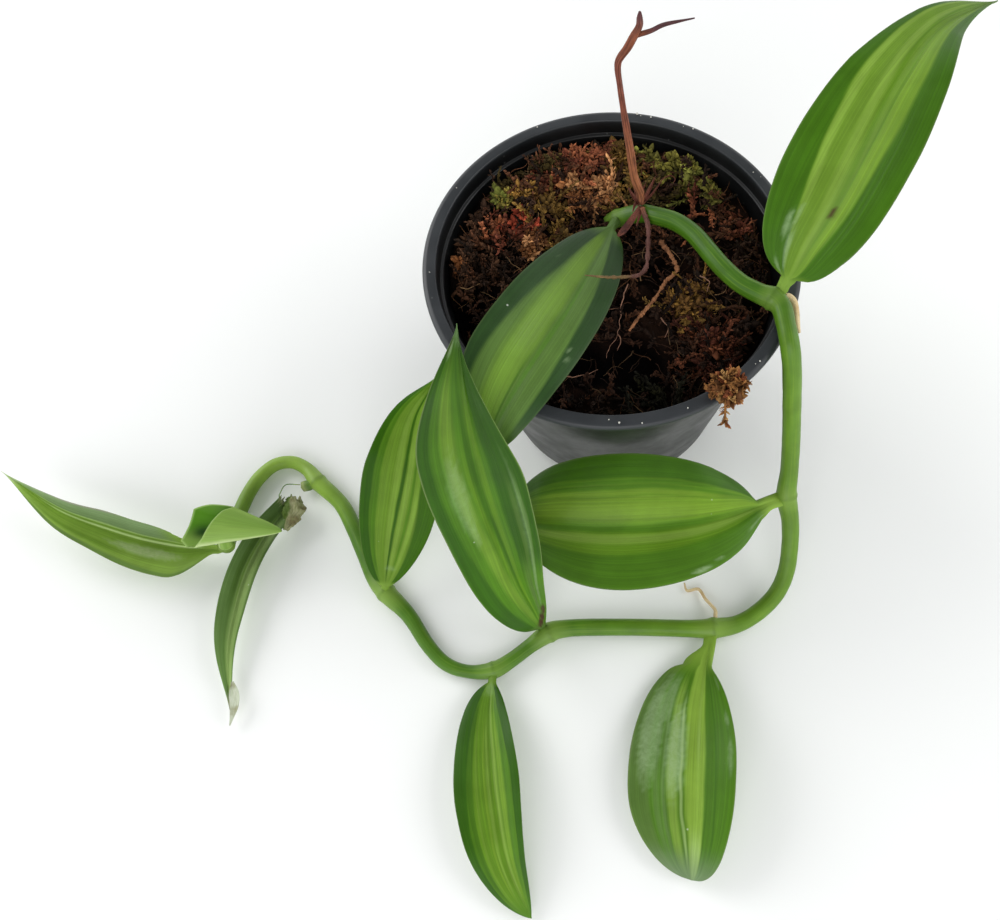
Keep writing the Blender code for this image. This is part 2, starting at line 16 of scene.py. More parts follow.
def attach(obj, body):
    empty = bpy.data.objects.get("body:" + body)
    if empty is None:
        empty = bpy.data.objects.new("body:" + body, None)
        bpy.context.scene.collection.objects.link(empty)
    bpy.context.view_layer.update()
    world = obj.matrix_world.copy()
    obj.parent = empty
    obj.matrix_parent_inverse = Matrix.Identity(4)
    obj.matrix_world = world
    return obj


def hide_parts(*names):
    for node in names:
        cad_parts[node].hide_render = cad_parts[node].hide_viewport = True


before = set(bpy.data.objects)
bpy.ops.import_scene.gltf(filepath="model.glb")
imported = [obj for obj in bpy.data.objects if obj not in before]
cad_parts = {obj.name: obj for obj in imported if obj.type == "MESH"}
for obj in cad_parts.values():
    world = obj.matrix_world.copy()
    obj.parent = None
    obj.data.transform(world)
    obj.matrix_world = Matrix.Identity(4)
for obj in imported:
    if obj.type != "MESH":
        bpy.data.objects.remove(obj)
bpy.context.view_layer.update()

MM = 0.001

# Camera
LENS = 34.0
SENSOR = 36.0
CAMERA_PLACE = (0.0024, -0.1782, 0.3343)
CAMERA_TILT = 23.5
CAMERA_SHIFT = -0.1195

# Light
SKY_TOP = 0.37
SKY_SIDE = 1.6
SKY_BAND = (0.08, 0.8)
FLOOR_SIDE = 3.0
FLOOR_DROP = 0.0004
FLOOR_TONE = (250, 251, 249)
FLOOR_FADE = (0.8, 1.45)
LAMPS = (
    ("window_lamp", (-1.0, 0.5, 0.75), (-0.05, -0.05, 0.05), (1.0, 0.7), 7.6),
    ("room_lamp", (1.0, 0.1, 0.8), (0.0, -0.05, 0.05), (0.9, 0.7), 4.9),
    ("near_lamp", (-0.1, -1.1, 0.75), (0.0, -0.05, 0.05), (0.9, 0.7), 4.9),
)

# Pot
RIM_RADIUS = 60.0
RIM_TOP = 86.0
RIM_WIDTH = 4.4
LEDGE_DROP = 5.6
LEDGE_STEP = 1.0
LEDGE_INSET = 0.5
WALL = 1.0
FLOOR = 1.2
LIP_HEIGHT = 2.3
BASE_RADIUS = 40.5
BASE_CHAMFER = 1.2
POT_SIDES = 216
POT_ARC = 4
DRAIN_HOLES = 6
DRAIN_RADIUS = 3.5
DRAIN_CIRCLE = 29.0
DRAIN_SIDES = 40
RIM_CRUMBS = (
    (8.4, 58.4, 0.42), (13.1, 56.9, 0.3), (27.3, 51.8, 0.25), (-25.4, 52.6, 0.22), (2.3, -58.4, 0.32),
    (-0.7, -57.4, 0.2), (9.0, -58.5, 0.24), (22.5, -53.6, 0.24), (44.6, -37.9, 0.26), (43.2, -38.8, 0.15),
    (-51.0, 27.0, 0.2), (-38.0, -44.0, 0.2), (55.8, 14.6, 0.16), (-57.2, -6.0, 0.18), (9.6, 57.6, 0.18),
    (24.0, 52.9, 0.14), (46.6, 33.4, 0.2), (49.0, 31.5, 0.12),
)
CRUMB_RINGS = 5
CRUMB_SIDES = 9
CRUMB_SEED = 51
SHARP_ANGLE = 40

# Moss
MOSS_LEVEL = 77.0
MOSS_TOP = 79.9
MOSS_TILT = (-0.03, 0.05)
MOSS_EDGE_DIP = 1.2
MOSS_DIP_START = 0.75
MOSS_LUMPS = ((16.0, 2.4, 3.0), (7.5, 1.3, 11.0))
MOSS_CLEARANCE = 0.45
BED_RINGS = 54
BED_SIDES = 168
BED_DROP = 1.6
BED_GRAIN = ((4.2, 1.6, 5.0), (1.6, 0.8, 9.0), (0.8, 0.35, 13.0))

# Vine: the points of its middle line, with the stem's radius there
VINE = (
    (-3.5, 23.5, 66.0, 2.6), (-0.5, 21.0, 76.0, 2.8), (4.0, 19.0, 81.5, 2.9), (9.5, 17.5, 85.0, 2.9),
    (14.5, 14.5, 87.5, 2.9), (20.5, 11.0, 89.0, 2.9), (26.0, 5.5, 89.8, 2.9), (30.5, -1.5, 90.2, 3.0),
    (34.5, -7.5, 90.4, 3.0), (39.5, -13.0, 90.4, 3.0), (45.0, -16.5, 90.2, 3.1), (49.0, -18.5, 90.2, 3.5),
    (51.5, -21.5, 90.2, 3.2), (52.5, -27.5, 89.9, 3.0), (53.5, -33.5, 88.4, 3.0), (55.0, -37.5, 81.5, 3.0),
    (57.0, -41.5, 68.0, 3.0), (59.0, -48.0, 51.5, 3.05), (60.0, -54.0, 39.0, 3.1), (60.0, -59.5, 31.0, 3.5),
    (62.0, -66.0, 23.5, 3.1), (62.5, -73.0, 17.0, 3.0), (61.5, -81.0, 11.0, 3.0), (58.0, -88.0, 7.0, 3.0),
    (51.5, -94.0, 4.5, 3.0), (44.0, -98.0, 3.6, 3.1), (35.5, -99.5, 3.9, 3.6), (27.5, -99.5, 3.3, 3.1),
    (9.5, -99.0, 3.2, 3.0), (-8.0, -99.0, 3.25, 3.05), (-17.0, -99.5, 3.3, 3.1), (-22.5, -101.0, 3.7, 3.5),
    (-29.0, -105.5, 3.0, 2.7), (-35.5, -110.5, 2.9, 2.65), (-41.5, -114.0, 3.1, 2.9),
    (-50.0, -114.5, 2.6, 2.35), (-58.0, -112.0, 2.7, 2.4), (-65.0, -105.5, 2.7, 2.5),
    (-73.0, -94.5, 3.0, 2.75), (-81.5, -86.5, 3.7, 3.4), (-86.5, -80.5, 3.3, 3.0), (-91.0, -71.5, 3.2, 2.95),
    (-97.0, -60.0, 3.1, 2.9), (-102.5, -51.5, 3.1, 2.85), (-111.5, -43.5, 3.4, 3.1),
    (-116.5, -38.0, 2.8, 2.55), (-122.5, -35.0, 2.7, 2.45), (-129.0, -36.0, 2.7, 2.45),
    (-134.0, -41.0, 2.8, 2.5), (-137.0, -47.0, 2.9, 2.55), (-139.0, -54.0, 3.1, 2.6),
    (-140.0, -61.0, 4.2, 2.6), (-139.6, -66.8, 7.4, 2.7), (-138.4, -71.4, 12.2, 2.9),
)
# Joints: the place, how far the paler skin reaches, and how pale it is
JOINT_REACH = 7.0
JOINT_LINE = 0.8
JOINTS = (
    ((2.0, 19.8, 79.5), 5.0, 0.5), ((49.0, -18.5, 90.2), 4.0, 0.75), ((60.0, -59.5, 31.0), 4.5, 0.8),
    ((35.5, -99.5, 3.9), 6.0, 0.8), ((-22.5, -101.0, 3.7), 6.0, 0.9), ((-41.5, -114.0, 3.1), 5.0, 0.6),
    ((-81.5, -86.5, 3.7), 7.0, 1.0), ((-111.5, -43.5, 3.4), 4.0, 0.6), ((-138.4, -71.4, 12.2), 5.0, 0.8),
)
STEM_SIDES = 24
STEM_SPACING = 0.9
STEM_RIDGES = 5
STEM_RIDGE_DEPTH = 0.012
COLLAR_RISE = 0.28
COLLAR_REACH = 1.1
STUB = ((-111.0, -43.3, 3.3), (-114.5, -44.5, 3.3), (-117.2, -45.4, 3.2))
STUB_RADIUS = 2.0
STUB_SPACING = 0.6
STUB_SIDES = 18
FIBRE_SIDES = 6

# Leaves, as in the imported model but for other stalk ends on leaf_wall, leaf_front and leaf_narrow.
# Faces, folds and half widths are rounded from fits to the leaves' outlines in the photo.
# Root: a point inside the stem that the stalk comes from.
LEAVES = {
    "leaf_pot": dict(
        spine=((1.2, 16.6, 82.2), (-8.5, -7.5, 89.0), (-19.5, -32.0, 94.0), (-27.0, -46.5, 94.0),
               (-32.5, -56.0, 90.0), (-37.0, -66.0, 84.0)),
        face=((0.02, -0.44, 0.9), (0.01, -0.43, 0.9)), fold=(11, 10),
        left=(13.6, 0.49, 0.55, 0.42), right=(16.9, 0.68, 0.6, 0.63), stalk=(0.05, 1.6),
        root=(2.5, 19.3, 80.0), arch=0.7),
    "leaf_back": dict(
        spine=((51.9, -16.2, 92.2), (56.5, -7.0, 101.0), (64.0, 3.5, 110.0), (72.5, 17.5, 118.0),
               (83.5, 35.0, 124.0), (99.5, 55.5, 125.0), (121.0, 72.0, 120.0)),
        face=((-0.31, -0.6, 0.74), (-0.51, -0.44, 0.74)), fold=(10, 18),
        left=(17.9, 0.28, 0.51, 1.21), right=(19.6, 0.36, 0.33, 1.71), stalk=(0.03, 2.0),
        neck=(0.03, 0.0, 3.0), root=(49.4, -18.8, 90.4), arch=0.8),
    "leaf_wall": dict(
        spine=((56.5, -61.4, 31.0), (37.5, -69.0, 34.0), (21.0, -72.5, 35.5), (-2.0, -74.0, 36.0),
               (-21.5, -72.0, 34.0), (-34.5, -69.5, 32.0)),
        face=((0.01, -0.23, 0.97), (0.01, -0.25, 0.97)), fold=(15, 12),
        left=(20.9, 0.54, 0.63, 0.75), right=(25.6, 0.56, 0.51, 0.4), stalk=(0.082, 2.6),
        neck=(0.1, 4.6, 0.0), root=(60.0, -59.8, 31.0), arch=0.9),
    "leaf_front": dict(
        spine=((34.5, -103.5, 4.5), (32.0, -116.5, 7.0), (30.0, -129.0, 9.0), (28.5, -143.5, 10.5),
               (27.5, -157.0, 9.5), (26.5, -170.5, 7.0), (25.5, -181.0, 3.5)),
        face=((-0.47, -0.06, 0.88), (-0.37, -0.07, 0.93)), fold=(17, 16),
        left=(15.1, 0.5, 0.76, 0.44), right=(23.3, 0.55, 0.31, 0.56), stalk=(0.13, 2.6),
        neck=(0.13, 0.0, 8.2), root=(35.4, -99.8, 3.9), arch=0.9),
    "leaf_tall": dict(
        spine=((-25.1, -99.2, 6.4), (-31.2, -91.8, 28.0), (-34.5, -83.5, 49.0), (-37.0, -76.5, 68.0),
               (-38.5, -70.0, 84.0), (-39.5, -60.0, 104.0), (-41.0, -44.5, 118.0)),
        face=((-0.02, -0.38, 0.92), (-0.02, -0.38, 0.92)), fold=(20, 16),
        left=(17.1, 0.68, 0.37, 1.33), right=(13.8, 0.59, 0.69, 2.39), stalk=(0.0, 2.0),
        root=(-22.9, -101.0, 3.9), arch=0.8),
    "leaf_narrow": dict(
        spine=((-41.5, -117.4, 4.0), (-41.5, -130.0, 6.5), (-40.0, -144.5, 8.0), (-37.5, -160.0, 8.0),
               (-33.5, -175.5, 6.0), (-25.5, -192.0, 2.0)),
        face=((-0.21, -0.13, 0.97), (-0.18, -0.12, 0.98)), fold=(21, 18),
        left=(10.6, 0.42, 0.73, 0.94), right=(13.0, 0.49, 0.53, 0.72), stalk=(0.014, 1.6),
        root=(-41.5, -114.2, 3.1), arch=0.6),
    "leaf_mid": dict(
        spine=((-81.0, -85.4, 7.7), (-78.0, -73.0, 17.0), (-74.5, -61.5, 27.0), (-71.5, -50.5, 36.0),
               (-68.0, -35.0, 44.0), (-58.5, -21.5, 50.0)),
        face=((0.22, -0.38, 0.9), (0.23, -0.39, 0.89)), fold=(10, 10),
        left=(13.6, 0.49, 0.56, 1.65), right=(13.5, 0.42, 0.66, 0.9), stalk=(0.0, 1.5),
        root=(-81.5, -86.4, 4.2), arch=0.7),
    "leaf_broken": dict(
        spine=((-121.0, -53.0, 3.5), (-128.0, -64.5, 4.0), (-133.0, -78.0, 4.0), (-135.0, -93.0, 4.0),
               (-135.0, -109.0, 3.5), (-130.5, -131.5, 2.0)),
        face=((0.18, -0.21, 0.96), (0.33, -0.23, 0.92)), fold=(52, 49),
        left=(7.5, 0.42, 0.38, 1.35), right=(8.2, 0.58, 0.53, 1.74), stalk=(-0.25, 0.0),
        root=None, arch=0.5),
    "leaf_keeled": dict(
        spine=((-142.1, -70.9, 7.8), (-156.5, -69.5, 4.5), (-172.0, -67.0, 4.5), (-186.5, -63.0, 6.0),
               (-203.5, -57.0, 9.0), (-225.0, -43.5, 14.0)),
        face=((0.4, -0.48, 0.78), (0.49, -0.25, 0.83)), fold=(53, 56),
        left=(15.4, 0.18, 1.6, 1.24), right=(13.9, 0.28, 0.9, 1.49), stalk=(0.0, 3.0),
        root=(-139.4, -69.6, 9.0), arch=0.6),
}
NO_NECK = (0.1, 0.0, 0.0)
LEAD_STEPS = 4
LEAD_SHARE = 0.04
COLUMN_CROWDING = 1.35
OPEN_OUT_STALK = 0.12
OPEN_OUT_TIP = 0.1
RAGGED_REACH = 0.06
RAGGED_DEPTH = 3.2
LEAF_ROWS = 84
LEAF_HALF_COLUMNS = 20
LEAF_THICK = 1.25
LEAF_EDGE = 0.5
STALK_THICK = 2.6
STALK_THICK_REACH = 0.1
LEAF_CREASE = 0.7
LEAF_TIP = 0.12
STALK_END = 0.5
STALK_FADE = 0.3
END_CROWDING = 0.6
EDGE_WAVE = 0.45
PLEAT = 0.1

# Furled leaf
FURL_MOUTH = (-139.6, -67.2, 20.0)
FURL_TIP = (-117.2, -67.9, 17.5)
FURL_RADIUS = 8.4
FURL_TIP_RADIUS = 0.25
FURL_TAPER = 0.75
FURL_OVERLAP = 0.14
FURL_FLATNESS = 0.74
FURL_LIP = (
    (0, 6.5), (45, 2.5), (90, 0.0), (125, -2.5), (148, -6.0), (170, 2.0), (210, 10.0), (260, 11.5),
    (296, 13.0), (320, 9.0),
)
# Painted shade darkens the hollow in the furled leaf's mouth around this place: x and y
FURL_HOLLOW_SHADE = (-146.0, -67.6)
FURL_STALK = (
    (-138.4, -71.0, 12.4, 2.6), (-138.1, -70.4, 14.6, 2.4), (-137.4, -69.6, 16.8, 2.0),
    (-135.4, -68.8, 18.4, 1.5), (-132.6, -68.2, 19.0, 0.8),
)
FURL_STALK_SPACING = 0.5
FURL_STALK_SIDES = 16
FURL_SAG = 0.16
FURL_BULGE = -0.06
FURL_TURN = 305.0
FURL_START = 8.0
FURL_ROWS = 60
FURL_COLUMNS = 90
FURL_THICK = 0.8

# Dry shoot and roots: points of the middle line with the radius
SHOOT = (
    (9.3, 19.0, 88.6, 1.5), (9.0, 20.0, 92.0, 1.3), (7.0, 20.0, 100.0, 1.2), (5.5, 20.0, 112.5, 1.12),
    (4.0, 20.0, 124.0, 1.0), (2.5, 20.0, 137.0, 0.8), (2.0, 20.0, 145.0, 0.95), (4.5, 20.0, 150.0, 1.15),
    (6.0, 19.5, 154.0, 1.1), (7.5, 20.0, 157.0, 0.9), (7.5, 19.5, 160.0, 0.7), (7.5, 19.5, 161.8, 0.3),
)
FORK = (
    (6.2, 19.6, 154.2, 0.7), (10.5, 20.0, 155.5, 0.6), (14.0, 20.5, 157.0, 0.5), (21.5, 20.5, 159.0, 0.15),
)
THIN_ROOT = (
    (9.6, 15.8, 89.8, 0.9), (11.5, 10.5, 87.5, 0.75), (11.5, 5.0, 85.0, 0.7), (11.0, -2.5, 84.5, 0.65),
    (8.5, -8.0, 87.5, 0.55), (4.5, -12.5, 93.0, 0.5), (-1.0, -14.0, 95.0, 0.4), (-8.0, -14.0, 96.0, 0.15),
)
DRY_ROOT = ((16.0, 11.5), (19.0, 6.0), (21.0, 0.0), (17.5, -4.0), (14.5, -9.0), (11.0, -14.5), (5.5, -23.0))
DRY_ROOT_RADIUS = 0.8
DRY_ROOT_LIFT = 0.9
ROOT_BEAD = 0.9
ROOT_SPACING = 0.5
ROOT_SIDES = 12
DRY_ROOT_SPACING = 0.3
THIN_ROOT_SPACING = 0.35
THIN_ROOT_SIDES = 10
SHOOT_SPACING = 0.7
SHOOT_SIDES = 16
FORK_SPACING = 0.6
FORK_SIDES = 12
AIR_ROOT = (
    (36.5, -97.0, 4.6, 0.7), (36.5, -95.0, 4.2, 0.7), (36.5, -92.5, 3.2, 0.65), (33.5, -88.5, 2.0, 0.6),
    (31.0, -84.5, 1.2, 0.6), (27.0, -85.0, 0.9, 0.5), (26.0, -82.0, 0.8, 0.25),
)
NUB = (
    (52.8, -18.0, 90.4, 1.0), (53.9, -17.6, 90.4, 1.0), (55.6, -18.9, 89.4, 1.15), (56.2, -22.0, 88.2, 1.2),
    (56.3, -26.0, 87.6, 1.1), (57.0, -28.5, 86.8, 0.5),
)
NUB_SLIM = 0.85
FIBRE = (
    (-123.2, -54.0, 6.9, 0.2), (-123.6, -51.0, 8.2, 0.2), (-124.5, -48.8, 5.5, 0.2),
    (-122.6, -45.6, 6.0, 0.2), (-117.9, -44.9, 4.4, 0.2),
)
TUFT_CENTRE = (34.5, -48.5, 89.2)
TUFT_SIZE = (6.6, 5.4, 2.9)
TUFT_STRAND = (
    (34.0, -49.0, 88.8, 1.1), (33.3, -54.0, 87.3, 0.9), (33.3, -56.5, 85.6, 0.7), (33.5, -57.0, 83.0, 0.3),
)


def shade(tone):
    """The shader colour of a tone from 0 to 255 as seen on a screen."""
    found = []
    for part in tone:
        part = part / 255
        found.append(part / 12.92 if part <= 0.04045 else ((part + 0.055) / 1.055) ** 2.4)
    return (*found, 1.0)


# Mesh work


def add_object(name, data):
    thing = bpy.data.objects.new(name, data)
    bpy.context.scene.collection.objects.link(thing)
    return thing


def add_piece(name, form, finish, replaces=(), masks=None):
    """A piece from a form: points in millimetres, faces and one uv pair a point. Masks are point colours."""
    points, faces, uvs = form
    mesh = bpy.data.meshes.new(name)
    mesh.from_pydata([(x * MM, y * MM, z * MM) for x, y, z in points], [], faces)
    mesh.materials.append(finish)
    mesh.shade_smooth()
    if uvs:
        layer = mesh.uv_layers.new(name="place")
        corners = [0] * len(mesh.loops)
        mesh.loops.foreach_get("vertex_index", corners)
        layer.data.foreach_set("uv", [part for corner in corners for part in uvs[corner]])
    for mask, colours in (masks or {}).items():
        paint = mesh.color_attributes.new(name=mask, type="FLOAT_COLOR", domain="POINT")
        paint.data.foreach_set("color", [part for colour in colours for part in colour])
    mesh.validate()
    piece = add_object(name, mesh)
    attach(piece, "root")
    if replaces:
        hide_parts(*replaces)
    return piece


def ring_faces(a, b, sides, turned=False):
    """Faces between two rings of points that start at a and b, with their fronts turned if asked."""
    found = []
    for k in range(sides):
        n = (k + 1) % sides
        found.append((a + k, b + k, b + n, a + n) if turned else (a + k, a + n, b + n, b + k))
    return found


def curve_through(points, spacing):
    """Points about a spacing apart on a smooth curve through the given ones, which may carry a radius."""
    given = [tuple(p) for p in points]
    first = tuple(2 * a - b for a, b in zip(given[0], given[1]))
    last = tuple(2 * a - b for a, b in zip(given[-1], given[-2]))
    ring = [first, *given, last]
    found = []
    for i in range(1, len(ring) - 2):
        a, b, c, d = ring[i - 1 : i + 3]
        length = (Vector(c[:3]) - Vector(b[:3])).length
        steps = max(1, round(length / spacing))
        for step in range(steps):
            t = step / steps
            found.append(
                tuple(
                    0.5 * (2 * q + (r - p) * t + (2 * p - 5 * q + 4 * r - s) * t**2
                           + (3 * q - p - 3 * r + s) * t**3)
                    for p, q, r, s in zip(a, b, c, d)
                )
            )
    found.append(given[-1])
    return found


def tube_points(path, sides, swell=None):
    """Rings of a tube along (x, y, z, radius), rounded off at both ends: points, faces and places.

    A place is the share of the turn and the share of the length. Swell scales a ring's radius by
    its centre and angle.
    """
    centres = [Vector(p[:3]) for p in path]
    last = len(centres) - 1
    reach = [0.0]
    for a, b in zip(centres, centres[1:]):
        reach.append(reach[-1] + (b - a).length)
    side = None
    points, places = [], []
    for i, centre in enumerate(centres):
        along = (centres[min(i + 1, last)] - centres[max(i - 1, 0)]).normalized()
        if side is None:
            side = along.orthogonal().normalized()
        side = (side - along * side.dot(along)).normalized()
        up = along.cross(side)
        for k in range(sides):
            angle = 2 * math.pi * k / sides
            radius = path[i][3] * (swell(centre, angle) if swell else 1.0)
            points.append(centre + (side * math.cos(angle) + up * math.sin(angle)) * radius)
            places.append((abs(2 * k / sides - 1), reach[i] / reach[-1]))
    faces = []
    for i in range(last):
        faces += ring_faces(i * sides, (i + 1) * sides, sides)
    for ring, way in ((0, -1), (last, 1)):
        end = len(points)
        near = centres[1] if way < 0 else centres[-2]
        out = (centres[ring] - near).normalized()
        points.append(centres[ring] + out * path[ring][3] * 0.4)
        places.append((0.5, reach[ring] / reach[-1]))
        for k in range(sides):
            a, b = ring * sides + k, ring * sides + (k + 1) % sides
            faces.append((b, a, end) if way < 0 else (a, b, end))
    return points, faces, places


def join_parts(parts):
    """One list of points, faces and places out of several."""
    points, faces, places = [], [], []
    for more_points, more_faces, more_places in parts:
        start = len(points)
        points += more_points
        faces += [tuple(start + i for i in face) for face in more_faces]
        places += more_places
    return points, faces, places


def half_width(share, half, stalk, neck):
    """A leaf half's width at a share of the leaf's length."""
    width, widest, stalk_power, tip_power = half
    stalk_share, stalk_width = stalk
    place = min(1.0, max(0.0, (share - stalk_share) / (1 - stalk_share)))
    if place < widest:
        off = (widest - place) / widest
        blade = width * max(0.0, 1 - off**2) ** stalk_power
    else:
        off = (place - widest) / (1 - widest)
        blade = width * max(0.0, 1 - off**2) ** tip_power
    petiole = stalk_width * (1 - share) * min(1.0, max(0.0, (STALK_END - share) / STALK_FADE))
    neck_share, neck_width = neck
    flare = neck_width * max(0.0, 1 - (share / neck_share - 1) ** 2) ** 2
    return (blade**3 + petiole**3 + flare**3) ** (1 / 3)


def wall_radius(height):
    """The pot's outer radius below the collar."""
    top = RIM_RADIUS - RIM_WIDTH - LEDGE_INSET - LEDGE_STEP + WALL
    share = min(1.0, max(0.0, height / (RIM_TOP - LEDGE_DROP)))
    return BASE_RADIUS + (top - BASE_RADIUS) * share


def moss_height(x, y):
    """The moss's upper side in millimetres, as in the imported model."""
    height = MOSS_LEVEL + MOSS_TILT[0] * x + MOSS_TILT[1] * y
    for size, rise, seed in MOSS_LUMPS:
        height += rise * noise.noise(Vector((x / size, y / size, seed)))
    share = math.hypot(x, y) / wall_radius(MOSS_LEVEL)
    dip = MOSS_EDGE_DIP * max(0.0, share - MOSS_DIP_START) / (1 - MOSS_DIP_START)
    return min(MOSS_TOP, height - dip)


# Shader work


def feed(tree, socket, value):
    """Joins a socket to an output, or sets it to a value."""
    if isinstance(value, bpy.types.NodeSocket):
        tree.links.new(value, socket)
    else:
        socket.default_value = value


def put(tree, kind, inputs=None, **settings):
    """Adds a node with its settings and inputs."""
    node = tree.nodes.new(kind)
    for name, value in settings.items():
        setattr(node, name, value)
    for name, value in (inputs or {}).items():
        feed(tree, node.inputs[name], value)
    return node


def calc(tree, operation, a, b=0.0, c=0.0, clamp=False):
    node = put(tree, "ShaderNodeMath", {0: a, 1: b, 2: c}, operation=operation, use_clamp=clamp)
    return node.outputs[0]


def times(tree, a, b):
    return calc(tree, "MULTIPLY", a, b)


def span(tree, value, low, high, to_low=0.0, to_high=1.0):
    """A soft step from to_low to to_high while the value goes from low to high."""
    inputs = {"Value": value, "From Min": low, "From Max": high, "To Min": to_low, "To Max": to_high}
    return put(tree, "ShaderNodeMapRange", inputs, interpolation_type="SMOOTHSTEP").outputs["Result"]


def mix(tree, factor, a, b, way="MIX"):
    node = put(tree, "ShaderNodeMix", {0: factor, 6: a, 7: b}, data_type="RGBA", blend_type=way)
    return node.outputs[2]


def grain(tree, place, scale, detail=2.0, roughness=0.5, distortion=0.0):
    inputs = {"Vector": place, "Scale": scale, "Detail": detail, "Roughness": roughness,
              "Distortion": distortion}
    return put(tree, "ShaderNodeTexNoise", inputs).outputs["Fac"]


def new_group(name, inputs, outputs):
    """A shader node group, its input node's sockets by name and its output node."""
    tree = bpy.data.node_groups.new(name, "ShaderNodeTree")
    for label, kind, value in inputs:
        socket = tree.interface.new_socket(name=label, in_out="INPUT", socket_type=kind)
        if value is not None:
            socket.default_value = value
    for label, kind in outputs:
        tree.interface.new_socket(name=label, in_out="OUTPUT", socket_type=kind)
    into = tree.nodes.new("NodeGroupInput").outputs
    out = tree.nodes.new("NodeGroupOutput").inputs
    return tree, into, out


def use_group(tree, name, inputs):
    node = tree.nodes.new("ShaderNodeGroup")
    node.node_tree = bpy.data.node_groups[name]
    for label, value in inputs.items():
        feed(tree, node.inputs[label], value)
    return node.outputs


NUMBER = "NodeSocketFloat"
COLOUR = "NodeSocketColor"
ARROW = "NodeSocketVector"


def group_vein_stripe():
    """One soft stripe that runs along a leaf."""
    tree, into, out = new_group(
        "vein_stripe",
        (("Color", COLOUR, None), ("Stripe Color", COLOUR, None), ("Across", NUMBER, 0.0),
         ("Along", NUMBER, 0.5), ("Centre", NUMBER, 0.0), ("Drift", NUMBER, 0.0),
         ("Half Width", NUMBER, 0.1), ("Softness", NUMBER, 0.05), ("Start", NUMBER, -1.0),
         ("End", NUMBER, 2.0), ("Strength", NUMBER, 1.0)),
        (("Color", COLOUR),),
    )
    lean = times(tree, into["Drift"], calc(tree, "SUBTRACT", into["Along"], 0.5))
    middle = calc(tree, "ADD", into["Centre"], lean)
    off = calc(tree, "ABSOLUTE", calc(tree, "SUBTRACT", into["Across"], middle))
    inner = calc(tree, "SUBTRACT", into["Half Width"], into["Softness"])
    outer = calc(tree, "ADD", into["Half Width"], into["Softness"])
    band = span(tree, off, inner, outer, 1.0, 0.0)
    begun = span(tree, into["Along"], calc(tree, "SUBTRACT", into["Start"], 0.07),
                 calc(tree, "ADD", into["Start"], 0.07))
    done = span(tree, into["Along"], calc(tree, "SUBTRACT", into["End"], 0.09),
                calc(tree, "ADD", into["End"], 0.09), 1.0, 0.0)
    reach = times(tree, begun, done)
    mask = times(tree, times(tree, band, reach), into["Strength"])
    feed(tree, out["Color"], mix(tree, mask, into["Color"], into["Stripe Color"]))


def group_leaf_place():
    """Where a point lies on a leaf: across from -1 to 1 with a slight wander, and along from 0 to 1."""
    tree, into, out = new_group(
        "leaf_place",
        (("UV", ARROW, None), ("Seed", NUMBER, 0.0), ("Wander", NUMBER, 0.03), ("Stalk Sweep", NUMBER, 0.0),
         ("Tip Sweep", NUMBER, 0.0), ("Pinch", NUMBER, 0.0)),
        (("Across", NUMBER), ("Along", NUMBER), ("Edge", NUMBER), ("Fine Veins", NUMBER),
         ("Broad Veins", NUMBER)),
    )
    apart = axes(tree, into["UV"])
    across = calc(tree, "MULTIPLY_ADD", apart["X"], 2.0, -1.0)
    along = apart["Y"]

    def streak(wide, long, detail):
        return grain(tree, stretched(tree, across, along, wide, long, into["Seed"]), 1.0, detail)

    drift = times(tree, calc(tree, "SUBTRACT", streak(2.2, 3.5, 2.0), 0.5), into["Wander"])
    rest = calc(tree, "SUBTRACT", 1.0, along, clamp=True)
    stalk_sweep = times(tree, calc(tree, "POWER", rest, 3.0), into["Stalk Sweep"])
    reached = calc(tree, "POWER", calc(tree, "MAXIMUM", along, 0.0), 3.0)
    tip_sweep = times(tree, reached, into["Tip Sweep"])
    inside = calc(tree, "SUBTRACT", 1.0, times(tree, across, across), clamp=True)
    sweep = times(tree, calc(tree, "ADD", stalk_sweep, tip_sweep), inside)
    pinch = calc(tree, "MULTIPLY_ADD", calc(tree, "POWER", rest, 4.0), into["Pinch"], 1.0)
    pinched = calc(tree, "MINIMUM", calc(tree, "MAXIMUM", times(tree, across, pinch), -1.0), 1.0)
    swept = calc(tree, "SUBTRACT", pinched, sweep)
    feed(tree, out["Across"], calc(tree, "MULTIPLY_ADD", drift, 2.0, swept))
    feed(tree, out["Along"], along)
    feed(tree, out["Edge"], calc(tree, "ABSOLUTE", across))
    feed(tree, out["Fine Veins"], streak(42.0, 1.6, 3.0))
    feed(tree, out["Broad Veins"], streak(13.0, 1.1, 2.0))


def group_mottle():
    """Lightens and darkens a colour in soft patches."""
    tree, into, out = new_group(
        "mottle",
        (("Color", COLOUR, None), ("Vector", ARROW, None), ("Scale", NUMBER, 200.0), ("Dark", NUMBER, 0.8),
         ("Light", NUMBER, 1.15)),
        (("Color", COLOUR),),
    )
    value = grain(tree, into["Vector"], into["Scale"], 3.0, 0.55)
    gain = span(tree, value, 0.3, 0.7, into["Dark"], into["Light"])
    feed(tree, out["Color"], lit(tree, into["Color"], gain))


def group_flecks():
    """A mask of small separate flecks."""
    tree, into, out = new_group(
        "flecks",
        (("Vector", ARROW, None), ("Scale", NUMBER, 400.0), ("Size", NUMBER, 0.12), ("Share", NUMBER, 0.1)),
        (("Mask", NUMBER),),
    )
    cells = put(tree, "ShaderNodeTexVoronoi", {"Vector": into["Vector"], "Scale": into["Scale"]})
    pick = put(tree, "ShaderNodeSeparateColor", {0: cells.outputs["Color"]}).outputs[0]
    chosen = calc(tree, "LESS_THAN", pick, into["Share"])
    near = span(tree, cells.outputs["Distance"], 0.0, into["Size"], 1.0, 0.0)
    feed(tree, out["Mask"], times(tree, chosen, near))


def new_finish(name):
    """A material with an empty Principled shader."""
    finish = bpy.data.materials.new(name)
    finish.use_nodes = True
    tree = finish.node_tree
    return finish, tree, tree.nodes["Principled BSDF"].inputs


